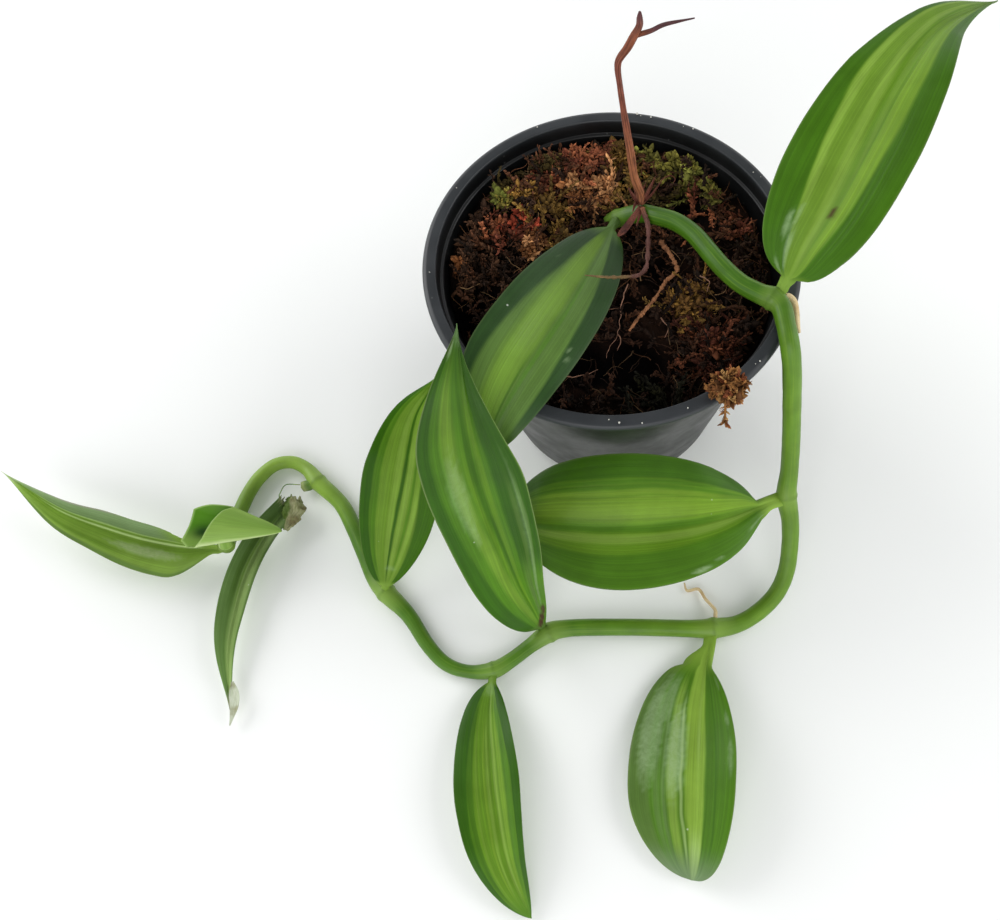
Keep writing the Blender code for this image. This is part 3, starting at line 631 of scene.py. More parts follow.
def object_place(tree):
    return put(tree, "ShaderNodeTexCoord").outputs["Object"]


def uv_place(tree):
    return put(tree, "ShaderNodeUVMap", uv_map="place").outputs["UV"]


def point_mask(tree, name):
    return put(tree, "ShaderNodeVertexColor", layer_name=name).outputs["Color"]


def axes(tree, vector):
    return put(tree, "ShaderNodeSeparateXYZ", {0: vector}).outputs


def point_marks(tree):
    return put(tree, "ShaderNodeSeparateColor", {0: point_mask(tree, "marks")}).outputs


def stretched(tree, across, along, wide, long, third=0.0):
    """A place for grain that is drawn out: wide and long are how fine it is across and along."""
    return put(tree, "ShaderNodeCombineXYZ", {
        "X": times(tree, across, wide), "Y": times(tree, along, long),
        "Z": third}).outputs[0]


def lit(tree, colour, gain):
    """A colour made lighter or darker."""
    grey = put(tree, "ShaderNodeCombineColor", {0: gain, 1: gain, 2: gain}).outputs[0]
    return mix(tree, 1.0, colour, grey, "MULTIPLY")


def dress(tree, skin, colour, rough, gloss, normal=None):
    """Feeds a skin's colour, roughness, gloss and, if there is one, its bump."""
    feed(tree, skin["Base Color"], colour)
    feed(tree, skin["Roughness"], rough)
    skin["Specular IOR Level"].default_value = gloss
    if normal:
        feed(tree, skin["Normal"], normal)


def bump(tree, height, strength, distance):
    inputs = {"Height": height, "Strength": strength, "Distance": distance}
    return put(tree, "ShaderNodeBump", inputs).outputs["Normal"]


# Greens of the leaves and the stem
# The shade green is painted shade, on leaf_pot's margins and at its stalk end.
SHADE_GREEN = (36, 64, 24)
DEEP_GREEN = (46, 86, 8)
DARK_GREEN = (58, 98, 14)
FOREST_GREEN = (70, 112, 20)
DULL_GREEN = (80, 110, 46)
LEAF_GREEN = (90, 128, 28)
MID_GREEN = (100, 134, 40)
GREY_GREEN = (94, 124, 64)
FRESH_GREEN = (110, 144, 40)
LIME_GREEN = (120, 152, 58)
BRIGHT_LIME = (132, 166, 60)
PALE_LIME = (152, 180, 106)
CREAM_GREEN = (190, 216, 142)
SILVER_GREEN = (114, 136, 100)
MAUVE_GREY = (150, 138, 140)
UNDER_GREEN = (118, 148, 82)

# What most leaves share: the tones of scuffed skin and painted sheen, and of the small flecks
COMMON_LOOK = dict(scuff_and_sheen=(160, 186, 138), flecks=(225, 232, 215))
# How light the leaf is at its stalk and at its tip is painted light and shade along it. The petiole's tone
# goes up to reach, and pinch draws the stripes together at the stalk.
# Stripes: centre, drift towards the tip, half width, softness, tone, strength, start and end.
# Across is -1 at the left margin and 1 at the right one; along is 0 at the stalk and 1 at the tip.
# Each green is the one nearest to a tone measured from the photo, but for the third stripe of leaf_pot.
# The grey stripes on leaf_front's right half and the silver stripe on leaf_keeled are partly painted sheen.
LEAF_LOOKS = {
    "leaf_pot": dict(
        ground=DULL_GREEN, petiole=DULL_GREEN, tip=DULL_GREEN, sweep=(0, 0),
        painted_light_and_shade=(0.8, 1.1), rim=0.1, reach=0.14, pinch=0.5, gloss=0.24, rough=0.42,
        stripes=(
            # Painted shade on both margins and at the stalk end.
            (-1.0, -0.35, 0.40, 0.05, SHADE_GREEN, 1.0, -1, 2),
            (1.0, 0.45, 0.38, 0.06, SHADE_GREEN, 1.0, -1, 2),
            (0.2, 0.05, 0.24, 0.12, MID_GREEN, 0.95, 0.08, 0.98),
            (-0.48, -0.2, 0.09, 0.08, DULL_GREEN, 0.7, 0.15, 0.9),
            (-0.16, 0.0, 0.05, 0.04, FOREST_GREEN, 0.7, 0.3, 0.95),
            (-0.01, -0.05, 0.03, 0.03, DEEP_GREEN, 0.6, 0.7, 1.0),
            (0.0, 0.0, 1.5, 0.1, SHADE_GREEN, 0.75, -1, 0.06),
        ),
        flecks=(232, 238, 226), fleck_share=0.02),
    "leaf_back": dict(
        ground=MID_GREEN, petiole=LIME_GREEN, tip=DULL_GREEN, sweep=(0.12, -0.3),
        painted_light_and_shade=(1, 0.9), rim=0.2, reach=0.05, pinch=0.3, gloss=0.12, rough=0.36,
        stripes=(
            (-1.0, -0.42, 0.38, 0.04, DARK_GREEN, 1.0, -1, 2),
            (1.0, 0.3, 0.46, 0.05, DARK_GREEN, 1.0, -1, 2),
            (-0.52, -0.38, 0.07, 0.04, LIME_GREEN, 0.9, 0.2, 0.95),
            (-0.33, -0.3, 0.05, 0.04, MID_GREEN, 0.8, 0.1, 0.95),
            (-0.11, -0.3, 0.08, 0.05, LIME_GREEN, 0.95, 0.04, 0.97),
            (0.07, -0.35, 0.04, 0.03, LEAF_GREEN, 0.85, 0.1, 1.0),
            (0.24, 0.0, 0.03, 0.02, LEAF_GREEN, 0.7, 0.15, 0.8),
            (0.34, 0.1, 0.06, 0.04, FRESH_GREEN, 0.85, 0.1, 0.95),
            (0.49, 0.25, 0.03, 0.03, FRESH_GREEN, 0.5, 0.3, 0.9),
        ),
        fleck_share=0.015),
    "leaf_wall": dict(
        ground=LEAF_GREEN, petiole=BRIGHT_LIME, tip=DEEP_GREEN, sweep=(0.05, 0),
        painted_light_and_shade=(1.1, 0.65), rim=0.15, reach=0.11, pinch=0.4, gloss=0.2, rough=0.36,
        stripes=(
            (-1.0, -0.1, 0.58, 0.06, FOREST_GREEN, 1.0, -1, 2),
            (1.0, 0.0, 0.32, 0.04, DARK_GREEN, 1.0, -1, 2),
            (-0.17, 0.0, 0.08, 0.05, LIME_GREEN, 0.9, 0.1, 0.9),
            (0.0, -0.05, 0.05, 0.04, FOREST_GREEN, 0.85, 0.25, 1.0),
            (0.24, 0.02, 0.13, 0.06, FRESH_GREEN, 0.95, 0.05, 0.95),
            (0.40, 0.0, 0.025, 0.02, FRESH_GREEN, 0.8, 0.1, 0.9),
            (0.48, 0.0, 0.035, 0.03, FRESH_GREEN, 0.8, 0.2, 0.9),
            (0.57, 0.0, 0.03, 0.02, FOREST_GREEN, 0.8, 0.1, 0.95),
            (0.64, 0.0, 0.03, 0.02, FOREST_GREEN, 0.9, 0.22, 0.92),
        ),
        fleck_share=0.01),
    "leaf_front": dict(
        ground=FOREST_GREEN, petiole=BRIGHT_LIME, tip=SILVER_GREEN, sweep=(0.12, -0.12),
        painted_light_and_shade=(1.1, 1), rim=0.3, reach=0.2, pinch=0.3, gloss=0.16, rough=0.36,
        stripes=(
            (-1.0, 0.0, 0.3, 0.1, FOREST_GREEN, 0.8, -1, 2),
            (-0.5, 0.0, 0.03, 0.03, DEEP_GREEN, 0.6, 0.2, 0.9),
            (1.0, 0.0, 0.30, 0.05, DULL_GREEN, 1.0, -1, 2),
            (0.0, 0.0, 0.19, 0.05, BRIGHT_LIME, 1.0, 0.0, 1.1),
            (0.0, 0.0, 0.17, 0.06, PALE_LIME, 0.7, 0.84, 2),
            (0.25, 0.0, 0.02, 0.02, PALE_LIME, 0.8, 0.3, 0.95),
            (0.37, 0.02, 0.07, 0.04, LIME_GREEN, 0.9, 0.22, 0.93),
            (0.50, 0.0, 0.03, 0.03, GREY_GREEN, 0.8, 0.2, 0.9),
            (0.60, 0.0, 0.05, 0.04, GREY_GREEN, 0.6, 0.2, 0.9),
        ),
        fleck_share=0.02),
    "leaf_tall": dict(
        ground=FOREST_GREEN, petiole=DULL_GREEN, tip=DEEP_GREEN, sweep=(0.25, -0.2),
        painted_light_and_shade=(1.15, 0.8), rim=0.45, reach=0.03, pinch=0.4, gloss=0.16, rough=0.36,
        stripes=(
            (-1.0, 0.0, 0.3, 0.07, DEEP_GREEN, 1.0, -1, 2),
            (-0.64, 0.0, 0.1, 0.06, FOREST_GREEN, 0.8, 0.1, 0.9),
            (-0.37, -0.1, 0.12, 0.08, MID_GREEN, 0.95, 0.04, 0.9),
            (-0.16, -0.05, 0.04, 0.03, LEAF_GREEN, 0.8, 0.1, 0.7),
            (-0.05, -0.12, 0.04, 0.03, DARK_GREEN, 0.9, 0.15, 1.0),
            (0.08, 0.0, 0.07, 0.04, LEAF_GREEN, 0.85, 0.0, 0.85),
            (0.66, -0.1, 0.36, 0.06, DEEP_GREEN, 1.0, 0.28, 2),
            (0.52, 0.0, 0.12, 0.08, DULL_GREEN, 0.8, 0.0, 0.3),
            (0.62, 0.0, 0.06, 0.04, DULL_GREEN, 0.75, 0.3, 0.6),
            (0.78, 0.0, 0.05, 0.03, GREY_GREEN, 0.8, 0.12, 0.6),
        ),
        fleck_share=0.015),
    "leaf_narrow": dict(
        ground=LEAF_GREEN, petiole=MID_GREEN, tip=FOREST_GREEN, sweep=(0.1, 0.25),
        painted_light_and_shade=(1, 1.1), rim=0.2, reach=0.05, pinch=0.7, gloss=0.2, rough=0.38,
        stripes=(
            (-1.0, 0.0, 0.24, 0.04, DEEP_GREEN, 1.0, -1, 2),
            (1.0, 0.1, 0.32, 0.05, DEEP_GREEN, 1.0, -1, 2),
            (-0.64, 0.0, 0.12, 0.04, FOREST_GREEN, 0.9, 0.1, 0.9),
            (-0.4, 0.0, 0.08, 0.06, FRESH_GREEN, 0.7, 0.2, 0.95),
            (-0.18, -0.05, 0.07, 0.05, LIME_GREEN, 0.95, 0.05, 0.97),
            (0.07, 0.0, 0.04, 0.03, LIME_GREEN, 0.7, 0.2, 0.9),
            (0.17, 0.0, 0.03, 0.02, FRESH_GREEN, 0.8, 0.2, 0.9),
            (0.31, 0.0, 0.04, 0.03, LEAF_GREEN, 0.7, 0.2, 0.9),
            (0.41, 0.0, 0.03, 0.02, MID_GREEN, 0.8, 0.2, 0.9),
            (0.60, 0.05, 0.09, 0.04, DARK_GREEN, 0.85, 0.1, 0.9),
        ),
        fleck_share=0.01),
    "leaf_mid": dict(
        ground=MID_GREEN, petiole=LIME_GREEN, tip=FOREST_GREEN, sweep=(0, 0.1),
        painted_light_and_shade=(1, 1.3), rim=0.25, reach=0.035, pinch=0.3, gloss=0.08, rough=0.38,
        stripes=(
            (-1.0, 0.0, 0.24, 0.04, DEEP_GREEN, 1.0, -1, 2),
            (-0.68, 0.0, 0.09, 0.04, FOREST_GREEN, 0.9, 0.05, 0.95),
            (-0.15, 0.02, 0.08, 0.05, LIME_GREEN, 0.9, 0.05, 0.9),
            (0.15, 0.1, 0.07, 0.04, LIME_GREEN, 0.9, 0.05, 0.7),
            (0.30, 0.0, 0.035, 0.03, FOREST_GREEN, 0.85, 0.1, 0.7),
            (0.44, 0.0, 0.07, 0.04, LIME_GREEN, 0.85, 0.05, 0.45),
            (1.0, -0.4, 0.50, 0.05, DARK_GREEN, 1.0, -1, 2),
            (0.01, 0.15, 0.045, 0.03, DEEP_GREEN, 0.95, 0.05, 0.98),
        ),
        fleck_share=0.01),
    "leaf_broken": dict(
        ground=GREY_GREEN, petiole=DULL_GREEN, tip=MAUVE_GREY, sweep=(0, -0.1),
        painted_light_and_shade=(0.7, 1.3), rim=0.3, reach=0.02, pinch=0, gloss=0.12, rough=0.42, scuff_and_sheen=(168, 164, 128),
        stripes=(
            (-1.0, -0.2, 0.26, 0.08, DULL_GREEN, 0.9, -1, 0.7),
            (-0.3, 0.1, 0.46, 0.2, PALE_LIME, 0.9, 0.1, 0.97),
            (0.08, 0.0, 0.05, 0.04, LEAF_GREEN, 0.6, 0.05, 0.5),
            (0.7, 0.0, 0.34, 0.08, GREY_GREEN, 0.95, -1, 0.8),
            (0.36, 0.0, 0.16, 0.06, DULL_GREEN, 0.9, 0.08, 0.5),
        ),
        flecks=(215, 222, 205), fleck_share=0.02),
    "leaf_keeled": dict(
        ground=LIME_GREEN, petiole=LIME_GREEN, tip=PALE_LIME, sweep=(0, 0),
        painted_light_and_shade=(1, 1.3), rim=0.45, reach=0.1, pinch=0, gloss=0.2, rough=0.38, scuff_and_sheen=(200, 206, 178),
        stripes=(
            (-0.6, 0.0, 0.46, 0.1, LIME_GREEN, 0.9, -1, 0.85),
            (-0.62, 0.0, 0.1, 0.06, MID_GREEN, 0.9, 0.4, 0.75),
            (-0.95, 0.0, 0.1, 0.05, DULL_GREEN, 0.8, -1, 2),
            (0.07, 0.05, 0.06, 0.04, CREAM_GREEN, 0.95, 0.1, 0.75),
            (0.7, 0.0, 0.4, 0.1, SILVER_GREEN, 0.8, 0.2, 2),
            (0.97, 0.0, 0.06, 0.04, MAUVE_GREY, 0.5, 0.45, 2),
            (0.3, 0.0, 0.03, 0.03, CREAM_GREEN, 0.5, 0.1, 0.8),
        ),
        fleck_share=0.01),
}


def leaf_finish(name, look, seed):
    """A glossy striped leaf skin."""
    finish, tree, skin = new_finish(f"{name}_skin")
    spot = use_group(tree, "leaf_place", {
        "UV": uv_place(tree), "Seed": float(seed), "Wander": 0.06, "Stalk Sweep": look["sweep"][0],
        "Tip Sweep": look["sweep"][1], "Pinch": look["pinch"]})
    across, along = spot["Across"], spot["Along"]
    colour = shade(look["ground"])
    for centre, drift, half, soft, tone, strength, start, end in look["stripes"]:
        colour = use_group(tree, "vein_stripe", {
            "Color": colour, "Stripe Color": shade(tone), "Across": across, "Along": along,
            "Centre": centre, "Drift": drift, "Half Width": half, "Softness": soft, "Start": float(start),
            "End": float(end), "Strength": strength})["Color"]
    # Towards the tip the colour turns to the tip tone, partly the leaf's own colour and partly painted
    # shade.
    colour = mix(tree, span(tree, along, 0.84, 1.02, 0.0, 0.85), colour, shade(look["tip"]))
    vein = span(tree, spot["Fine Veins"], 0.35, 0.65, 0.93, 1.08)
    wide = span(tree, spot["Broad Veins"], 0.35, 0.65, 0.92, 1.07)
    # The gain holds the veins' own tone and painted light and shade along the leaf.
    near = span(tree, along, 0.2, 0.5, look["painted_light_and_shade"][0], 1.0)
    far = span(tree, along, 0.5, 0.85, 1.0, look["painted_light_and_shade"][1])
    gain = times(tree, times(tree, vein, wide), times(tree, near, far))
    colour = lit(tree, colour, gain)
    place = object_place(tree)
    colour = use_group(tree, "mottle", {
        "Color": colour, "Vector": place, "Scale": 90.0, "Dark": 0.93, "Light": 1.07})["Color"]
    foot = span(tree, along, look["reach"] * 0.35, look["reach"], 0.9, 0.0)
    colour = mix(tree, foot, colour, shade(look["petiole"]))
    edge = span(tree, spot["Edge"], 0.965, 0.99, 0.0, look["rim"])
    colour = mix(tree, edge, colour, shade((136, 152, 96)))
    dots = use_group(tree, "flecks", {
        "Vector": place, "Scale": 330.0, "Size": 0.16, "Share": look["fleck_share"]})["Mask"]
    colour = mix(tree, times(tree, dots, 0.6), colour, shade(look["flecks"]))
    marks = point_marks(tree)
    colour = mix(tree, marks[1], colour, shade((70, 50, 34)))
    # Pale marks: pale scuffed skin, and painted sheen on some leaves.
    crinkle = span(tree, grain(tree, place, 460.0, 5.0, 0.75, 0.8), 0.3, 0.7, 0.45, 0.85)
    colour = mix(tree, times(tree, marks[2], crinkle), colour, shade(look["scuff_and_sheen"]))
    under = mix(tree, 0.55, colour, shade(UNDER_GREEN))
    colour = mix(tree, marks[0], colour, under)
    smear = grain(tree, place, 45.0, 3.0)
    rough = span(tree, smear, 0.3, 0.7, look["rough"] - 0.07, look["rough"] + 0.10)
    rough = calc(tree, "MULTIPLY_ADD", marks[1], 0.4, rough)
    rough = calc(tree, "MULTIPLY_ADD", marks[0], 0.15, rough, clamp=True)
    ripple = calc(tree, "MULTIPLY_ADD", spot["Broad Veins"], 0.7, spot["Fine Veins"])
    dress(tree, skin, colour, rough, look["gloss"], bump(tree, ripple, 0.35, 0.00025))
    return finish


# Marks on the upper side: leaf, place along and across, half length and half width, kind and strength.
# Pale marks are pale skin, but those on leaf_front, leaf_back and leaf_wall, near leaf_keeled's foot,
# halfway along leaf_tall's left half and along its right margin are painted sheen.
LEAF_SCARS = (
    ("leaf_back", 0.212, 0.2, 0.011, 0.06, "brown", 1.0),
    ("leaf_back", 0.14, -0.45, 0.03, 0.06, "pale", 0.6),
    ("leaf_back", 0.09, -0.3, 0.05, 0.06, "pale", 0.55),
    ("leaf_back", 0.17, -0.32, 0.025, 0.05, "pale", 0.5),
    ("leaf_back", 0.05, -0.62, 0.015, 0.1, "pale", 0.4),
    ("leaf_pot", 0.63, -0.8, 0.006, 0.07, "pale", 0.9),
    ("leaf_pot", 0.60, -0.7, 0.006, 0.04, "pale", 0.6),
    ("leaf_pot", 0.3, 0.72, 0.003, 0.02, "pale", 0.7),
    ("leaf_tall", 0.02, 0.1, 0.012, 0.2, "brown", 0.9),
    ("leaf_tall", 0.03, 0.35, 0.016, 0.22, "brown", 1.0),
    ("leaf_tall", 0.05, 0.58, 0.02, 0.2, "brown", 1.0),
    ("leaf_tall", 0.085, 0.75, 0.024, 0.14, "brown", 0.9),
    ("leaf_tall", 0.57, -0.45, 0.12, 0.14, "pale", 0.32),
    ("leaf_tall", 0.95, -0.7, 0.02, 0.1, "pale", 0.5),
    ("leaf_tall", 0.955, -0.8, 0.02, 0.1, "brown", 0.4),
    ("leaf_tall", 0.46, -0.42, 0.06, 0.05, "pale", 0.35),
    ("leaf_tall", 0.4, 0.72, 0.28, 0.05, "pale", 0.22),
    ("leaf_tall", 0.985, 0.1, 0.03, 0.9, "pale", 0.25),
    ("leaf_front", 0.5, 0.32, 0.17, 0.13, "pale", 0.75),
    ("leaf_front", 0.42, 0.72, 0.2, 0.16, "pale", 0.6),
    ("leaf_front", 0.3, 0.55, 0.1, 0.1, "pale", 0.4),
    ("leaf_front", 0.52, -0.86, 0.06, 0.06, "pale", 0.35),
    ("leaf_front", 0.38, -0.84, 0.03, 0.05, "pale", 0.4),
    ("leaf_front", 0.22, -0.8, 0.03, 0.05, "pale", 0.3),
    ("leaf_wall", 0.34, -0.92, 0.03, 0.04, "pale", 0.8),
    ("leaf_wall", 0.28, -0.86, 0.012, 0.03, "pale", 0.6),
    ("leaf_wall", 0.12, -0.75, 0.04, 0.05, "pale", 0.4),
    ("leaf_narrow", 0.05, 0.0, 0.03, 0.4, "pale", 0.25),
    ("leaf_mid", 0.09, 0.1, 0.01, 0.25, "pale", 0.3),
    ("leaf_broken", 0.0, -0.3, 0.045, 0.5, "brown", 0.8),
    ("leaf_broken", 0.0, 0.6, 0.02, 0.5, "pale", 0.7),
    ("leaf_broken", 1.0, 0.0, 0.1, 1.2, "pale", 0.9),
    ("leaf_keeled", 0.3, -0.35, 0.14, 0.14, "pale", 0.5),
    ("leaf_keeled", 0.98, 0.0, 0.06, 1.2, "pale", 0.5),
)


def leaf_marks(name, share, across, under):
    """The marks of a leaf at a place: red for the underside, green for brown scars, blue for pale skin and
    painted sheen.
    """
    found = {"brown": 0.0, "pale": 0.0}
    for leaf, along_at, across_at, long, wide, kind, strength in () if under else LEAF_SCARS:
        if leaf != name:
            continue
        ragged = 0.35 * noise.noise(Vector((share * 60, across * 14, len(leaf))))
        off = math.hypot((share - along_at) / long, (across - across_at) / wide) + ragged
        cover = min(1.0, max(0.0, (1.3 - off) / 0.6)) * strength
        found[kind] = max(found[kind], cover)
    return (1.0 if under else 0.0, found["brown"], found["pale"], 1.0)


def leaf_row_places(leaf):
    """For each row its share of the length, its place and direction. Shares below 0 reach to the root."""
    fine = [Vector(p) for p in curve_through(leaf["spine"], 0.8)]
    reach = [0.0]
    for a, b in zip(fine, fine[1:]):
        reach.append(reach[-1] + (b - a).length)
    found = []
    i = 0
    for row in range(LEAF_ROWS):
        even = row / (LEAF_ROWS - 1)
        share = (1 - END_CROWDING) * even + END_CROWDING * (0.5 - 0.5 * math.cos(math.pi * even))
        goal = reach[-1] * share
        while i < len(fine) - 2 and reach[i + 1] < goal:
            i += 1
        rest = (goal - reach[i]) / (reach[i + 1] - reach[i])
        found.append((share, fine[i].lerp(fine[i + 1], rest), (fine[i + 1] - fine[i]).normalized()))
    if leaf["root"]:
        root = Vector(leaf["root"])
        start, way = found[0][1], found[0][2]
        lead = []
        for step in range(LEAD_STEPS):
            part = step / LEAD_STEPS
            turned = (start - root).normalized().lerp(way, part).normalized()
            lead.append((-LEAD_SHARE * (1 - part), root.lerp(start, part), turned))
        found = lead + found
    return found


def column_places():
    """Places across a leaf from -1 to 1, closer together towards the margins."""
    half = [1 - (1 - k / LEAF_HALF_COLUMNS) ** COLUMN_CROWDING for k in range(LEAF_HALF_COLUMNS + 1)]
    return [-t for t in reversed(half[1:])] + half


def build_leaf(name, leaf, seed):
    """A leaf blade with a creased midrib, arched halves, a wavy rounded margin and a stalk."""
    rows = leaf_row_places(leaf)
    columns = column_places()
    stalk_face, tip_face = (Vector(f).normalized() for f in leaf["face"])
    folds = [math.radians(f) for f in leaf["fold"]]
    necks = leaf.get("neck", NO_NECK)
    upper, lower, places = [], [], []
    for share, centre, along in rows:
        real = max(0.0, share)
        face = stalk_face.lerp(tip_face, real).normalized()
        side = along.cross(face).normalized()
        face = side.cross(along).normalized()
        open_out = min(1.0, real / OPEN_OUT_STALK) * min(1.0, (1 - real) / OPEN_OUT_TIP)
        stalk = max(0.0, 1 - real / STALK_THICK_REACH)
        for across in columns:
            half = leaf["left"] if across < 0 else leaf["right"]
            fold = folds[0] if across < 0 else folds[1]
            neck = (necks[0], necks[1] if across < 0 else necks[2])
            width = half_width(real, half, leaf["stalk"], neck)
            reach = max(LEAF_TIP, width) * across
            rise = (math.sqrt(reach**2 + LEAF_CREASE**2) - LEAF_CREASE) * math.sin(fold)
            rise += leaf["arch"] * open_out * (1 - (2 * abs(across) - 1) ** 2)
            swing = noise.noise(Vector((real * 5.5, 3.0 * math.copysign(1, across), seed)))
            rise += EDGE_WAVE * open_out * abs(across) ** 2.5 * swing * 2
            rise += PLEAT * open_out * math.sin(across * 17 + seed) * (1 - abs(across))
            point = centre + side * reach * math.cos(fold) + face * rise
            thick = LEAF_THICK + (LEAF_EDGE - LEAF_THICK) * abs(across) ** 0.8
            thick = thick * (1 - 0.35 * real) + (STALK_THICK - LEAF_THICK) * stalk * (1 - across**2)
            thick *= math.sqrt(max(0.0, 1 - abs(across) ** 7))
            upper.append(point + face * thick / 2)
            lower.append(point - face * thick / 2)
            places.append(((across + 1) / 2, share))
    if name == "leaf_broken":
        upper, lower = ragged_end(upper, lower, rows, len(columns))
    return close_sheet(upper, lower, places, len(rows), len(columns))


# Torn flap at the foot of the broken leaf: places along its middle with half widths
TORN_FLAP = (
    (-120.2, -63.7, 7.0, 0.7), (-119.2, -61.0, 7.4, 2.2), (-118.4, -58.4, 7.9, 3.4),
    (-117.8, -54.9, 8.2, 4.3), (-118.2, -52.4, 7.8, 3.6), (-118.5, -50.8, 7.2, 2.4),
)
FLAP_COLUMNS = 25
BLADE_COLUMNS = 9
# Papery shred along the tip of the broken leaf: path, half widths and curl
TIP_SHRED = (
    ((-131.6, -118.2, 3.9), (-130.1, -122.4, 4.2), (-129.5, -126.2, 4.1), (-130.0, -130.2, 3.4),
     (-130.6, -132.8, 2.6)),
    (0.5, 1.9, 1.7, 0.8, 0.2), 30)


def torn_flap():
    """A lumpy withered flap with a ragged margin."""
    line = curve_through(TORN_FLAP, 0.3)
    last = len(line) - 1
    upper, lower, places = [], [], []
    for i, (x, y, z, wide) in enumerate(line):
        for column in range(FLAP_COLUMNS):
            across = 2 * column / (FLAP_COLUMNS - 1) - 1
            tear = 1 + 0.28 * noise.noise(Vector((i * 0.16, across * 1.4, 3.0)))
            tear += 0.16 * noise.noise(Vector((i * 0.5, across * 3.0, 8.0)))
            off = Vector((wide * across * tear, -wide * across * 0.25, 0.0))
            lump = 1.3 * noise.noise(Vector((i * 0.09, across * 1.8, 5.0))) + 0.5 * noise.noise(
                Vector((i * 0.3, across * 5.0, 1.0)))
            end = max(0, i - last + 8) / 8
            push = 1.6 * end * noise.noise(Vector((across * 3.2, 6.0, 2.0)))
            point = Vector((x, y + push, z)) + off + Vector((0, 0, lump - 1.4 * across**2))
            half = 0.22 * math.sqrt(max(0.0, 1 - across**6)) + 0.02
            upper.append(point + Vector((0, 0, half)))
            lower.append(point - Vector((0, 0, half)))
            places.append((column / (FLAP_COLUMNS - 1), i / last))
    return close_sheet(upper, lower, places, len(line), FLAP_COLUMNS)


def ragged_end(upper, lower, rows, columns):
    """Tears the stalk end of the broken leaf."""
    for grid in (upper, lower):
        for row, (share, _, along) in enumerate(rows):
            if share > RAGGED_REACH:
                continue
            for column in range(columns):
                i = row * columns + column
                tear = noise.noise(Vector((column * 0.55, 4.0, 2.0)))
                tear += 0.5 * noise.noise(Vector((column * 1.7, 1.0, 7.0)))
                fade = 1 - share / RAGGED_REACH
                grid[i] = grid[i] + along * tear * RAGGED_DEPTH * fade
                grid[i].z = max(0.4, grid[i].z)
    return upper, lower


def close_sheet(upper, lower, places, rows, columns):
    """Closes two like grids into one solid sheet: points, faces and places."""
    count = len(upper)
    faces = []
    for row in range(rows - 1):
        for column in range(columns - 1):
            a = row * columns + column
            b, c, d = a + 1, a + columns + 1, a + columns
            faces.append((a, b, c, d))
            faces.append((count + d, count + c, count + b, count + a))
    border = list(range(columns))
    border += [row * columns + columns - 1 for row in range(1, rows)]
    border += [(rows - 1) * columns + column for column in range(columns - 2, -1, -1)]
    border += [row * columns for row in range(rows - 2, 0, -1)]
    for a, b in zip(border, border[1:] + border[:1]):
        faces.append((b, a, count + a, count + b))
    points = list(upper) + list(lower)
    return points, faces, places + places


def build_leaves():
    for seed, (name, leaf) in enumerate(LEAVES.items(), 1):
        form = build_leaf(name, leaf, seed)
        half = len(form[2]) // 2
        marks = [leaf_marks(name, along, side * 2 - 1, i >= half) for i, (side, along) in enumerate(form[2])]
        finish = leaf_finish(name, COMMON_LOOK | LEAF_LOOKS[name], seed)
        add_piece(f"{name}_blade", form, finish, (name,), {"marks": marks})
    tones = ((152, 152, 114), (122, 126, 82), (108, 98, 64))
    finish = bark_finish("torn_flap_skin", tones, 5.0, 0.8, (76, 100, 32))
    add_piece("leaf_broken_flap", torn_flap(), finish)
    tones = ((214, 220, 200), (196, 204, 176), (160, 160, 120))
    finish = bark_finish("tip_shred_skin", tones, 6.0, 0.8)
    add_piece("leaf_broken_tip", papery_blade(*TIP_SHRED, 9.0), finish)


def furl_lip(angle):
    """How far the mouth of the furled leaf reaches out at an angle in degrees."""
    for (a, low), (b, high) in zip(FURL_LIP, FURL_LIP[1:]):
        if angle <= b:
            return low + (high - low) * (angle - a) / (b - a)
    return FURL_LIP[-1][1]


def furled_finish():
    """A young leaf's skin: pale outside with fine lines, darker inside, with painted shade in the hollow of
    its mouth.
    """
    finish, tree, skin = new_finish("leaf_furled_skin")
    spot = use_group(tree, "leaf_place", {"UV": uv_place(tree), "Seed": 21.0, "Wander": 0.05})
    colour = shade((130, 163, 74))
    for centre, half, tone, strength in (
        (-0.94, 0.07, (184, 202, 142), 0.9), (-0.35, 0.16, (116, 152, 62), 0.7),
        (0.1, 0.16, (142, 174, 84), 0.7), (0.5, 0.08, (108, 146, 56), 0.6),
        (0.95, 0.06, (184, 202, 150), 0.9),
    ):
        colour = use_group(tree, "vein_stripe", {
            "Color": colour, "Stripe Color": shade(tone), "Across": spot["Across"], "Along": spot["Along"],
            "Centre": centre, "Drift": 0.0, "Half Width": half, "Softness": 0.07, "Start": -1.0, "End": 2.0,
            "Strength": strength})["Color"]
    vein = span(tree, spot["Fine Veins"], 0.35, 0.65, 0.93, 1.07)
    colour = lit(tree, colour, vein)
    marks = point_marks(tree)
    inner = mix(tree, span(tree, spot["Across"], 0.1, 0.4), shade((88, 132, 44)), shade((72, 122, 18)))
    inner = mix(tree, span(tree, spot["Across"], 0.62, 0.88), inner, shade((110, 144, 58)))
    # Painted shade in the hollow of the mouth.
    inner = mix(tree, marks[1], inner, shade((20, 54, 4)))
    rim = span(tree, spot["Along"], 0.0, 0.035, 0.6, 0.0)
    colour = mix(tree, marks[0], colour, inner)
    colour = mix(tree, rim, colour, shade((158, 186, 112)))
    rough = span(tree, spot["Broad Veins"], 0.3, 0.7, 0.38, 0.5)
    rough = calc(tree, "MULTIPLY_ADD", marks[0], 0.45, rough, clamp=True)
    dress(tree, skin, colour, rough, 0.2, bump(tree, spot["Fine Veins"], 0.3, 0.0002))
    return finish


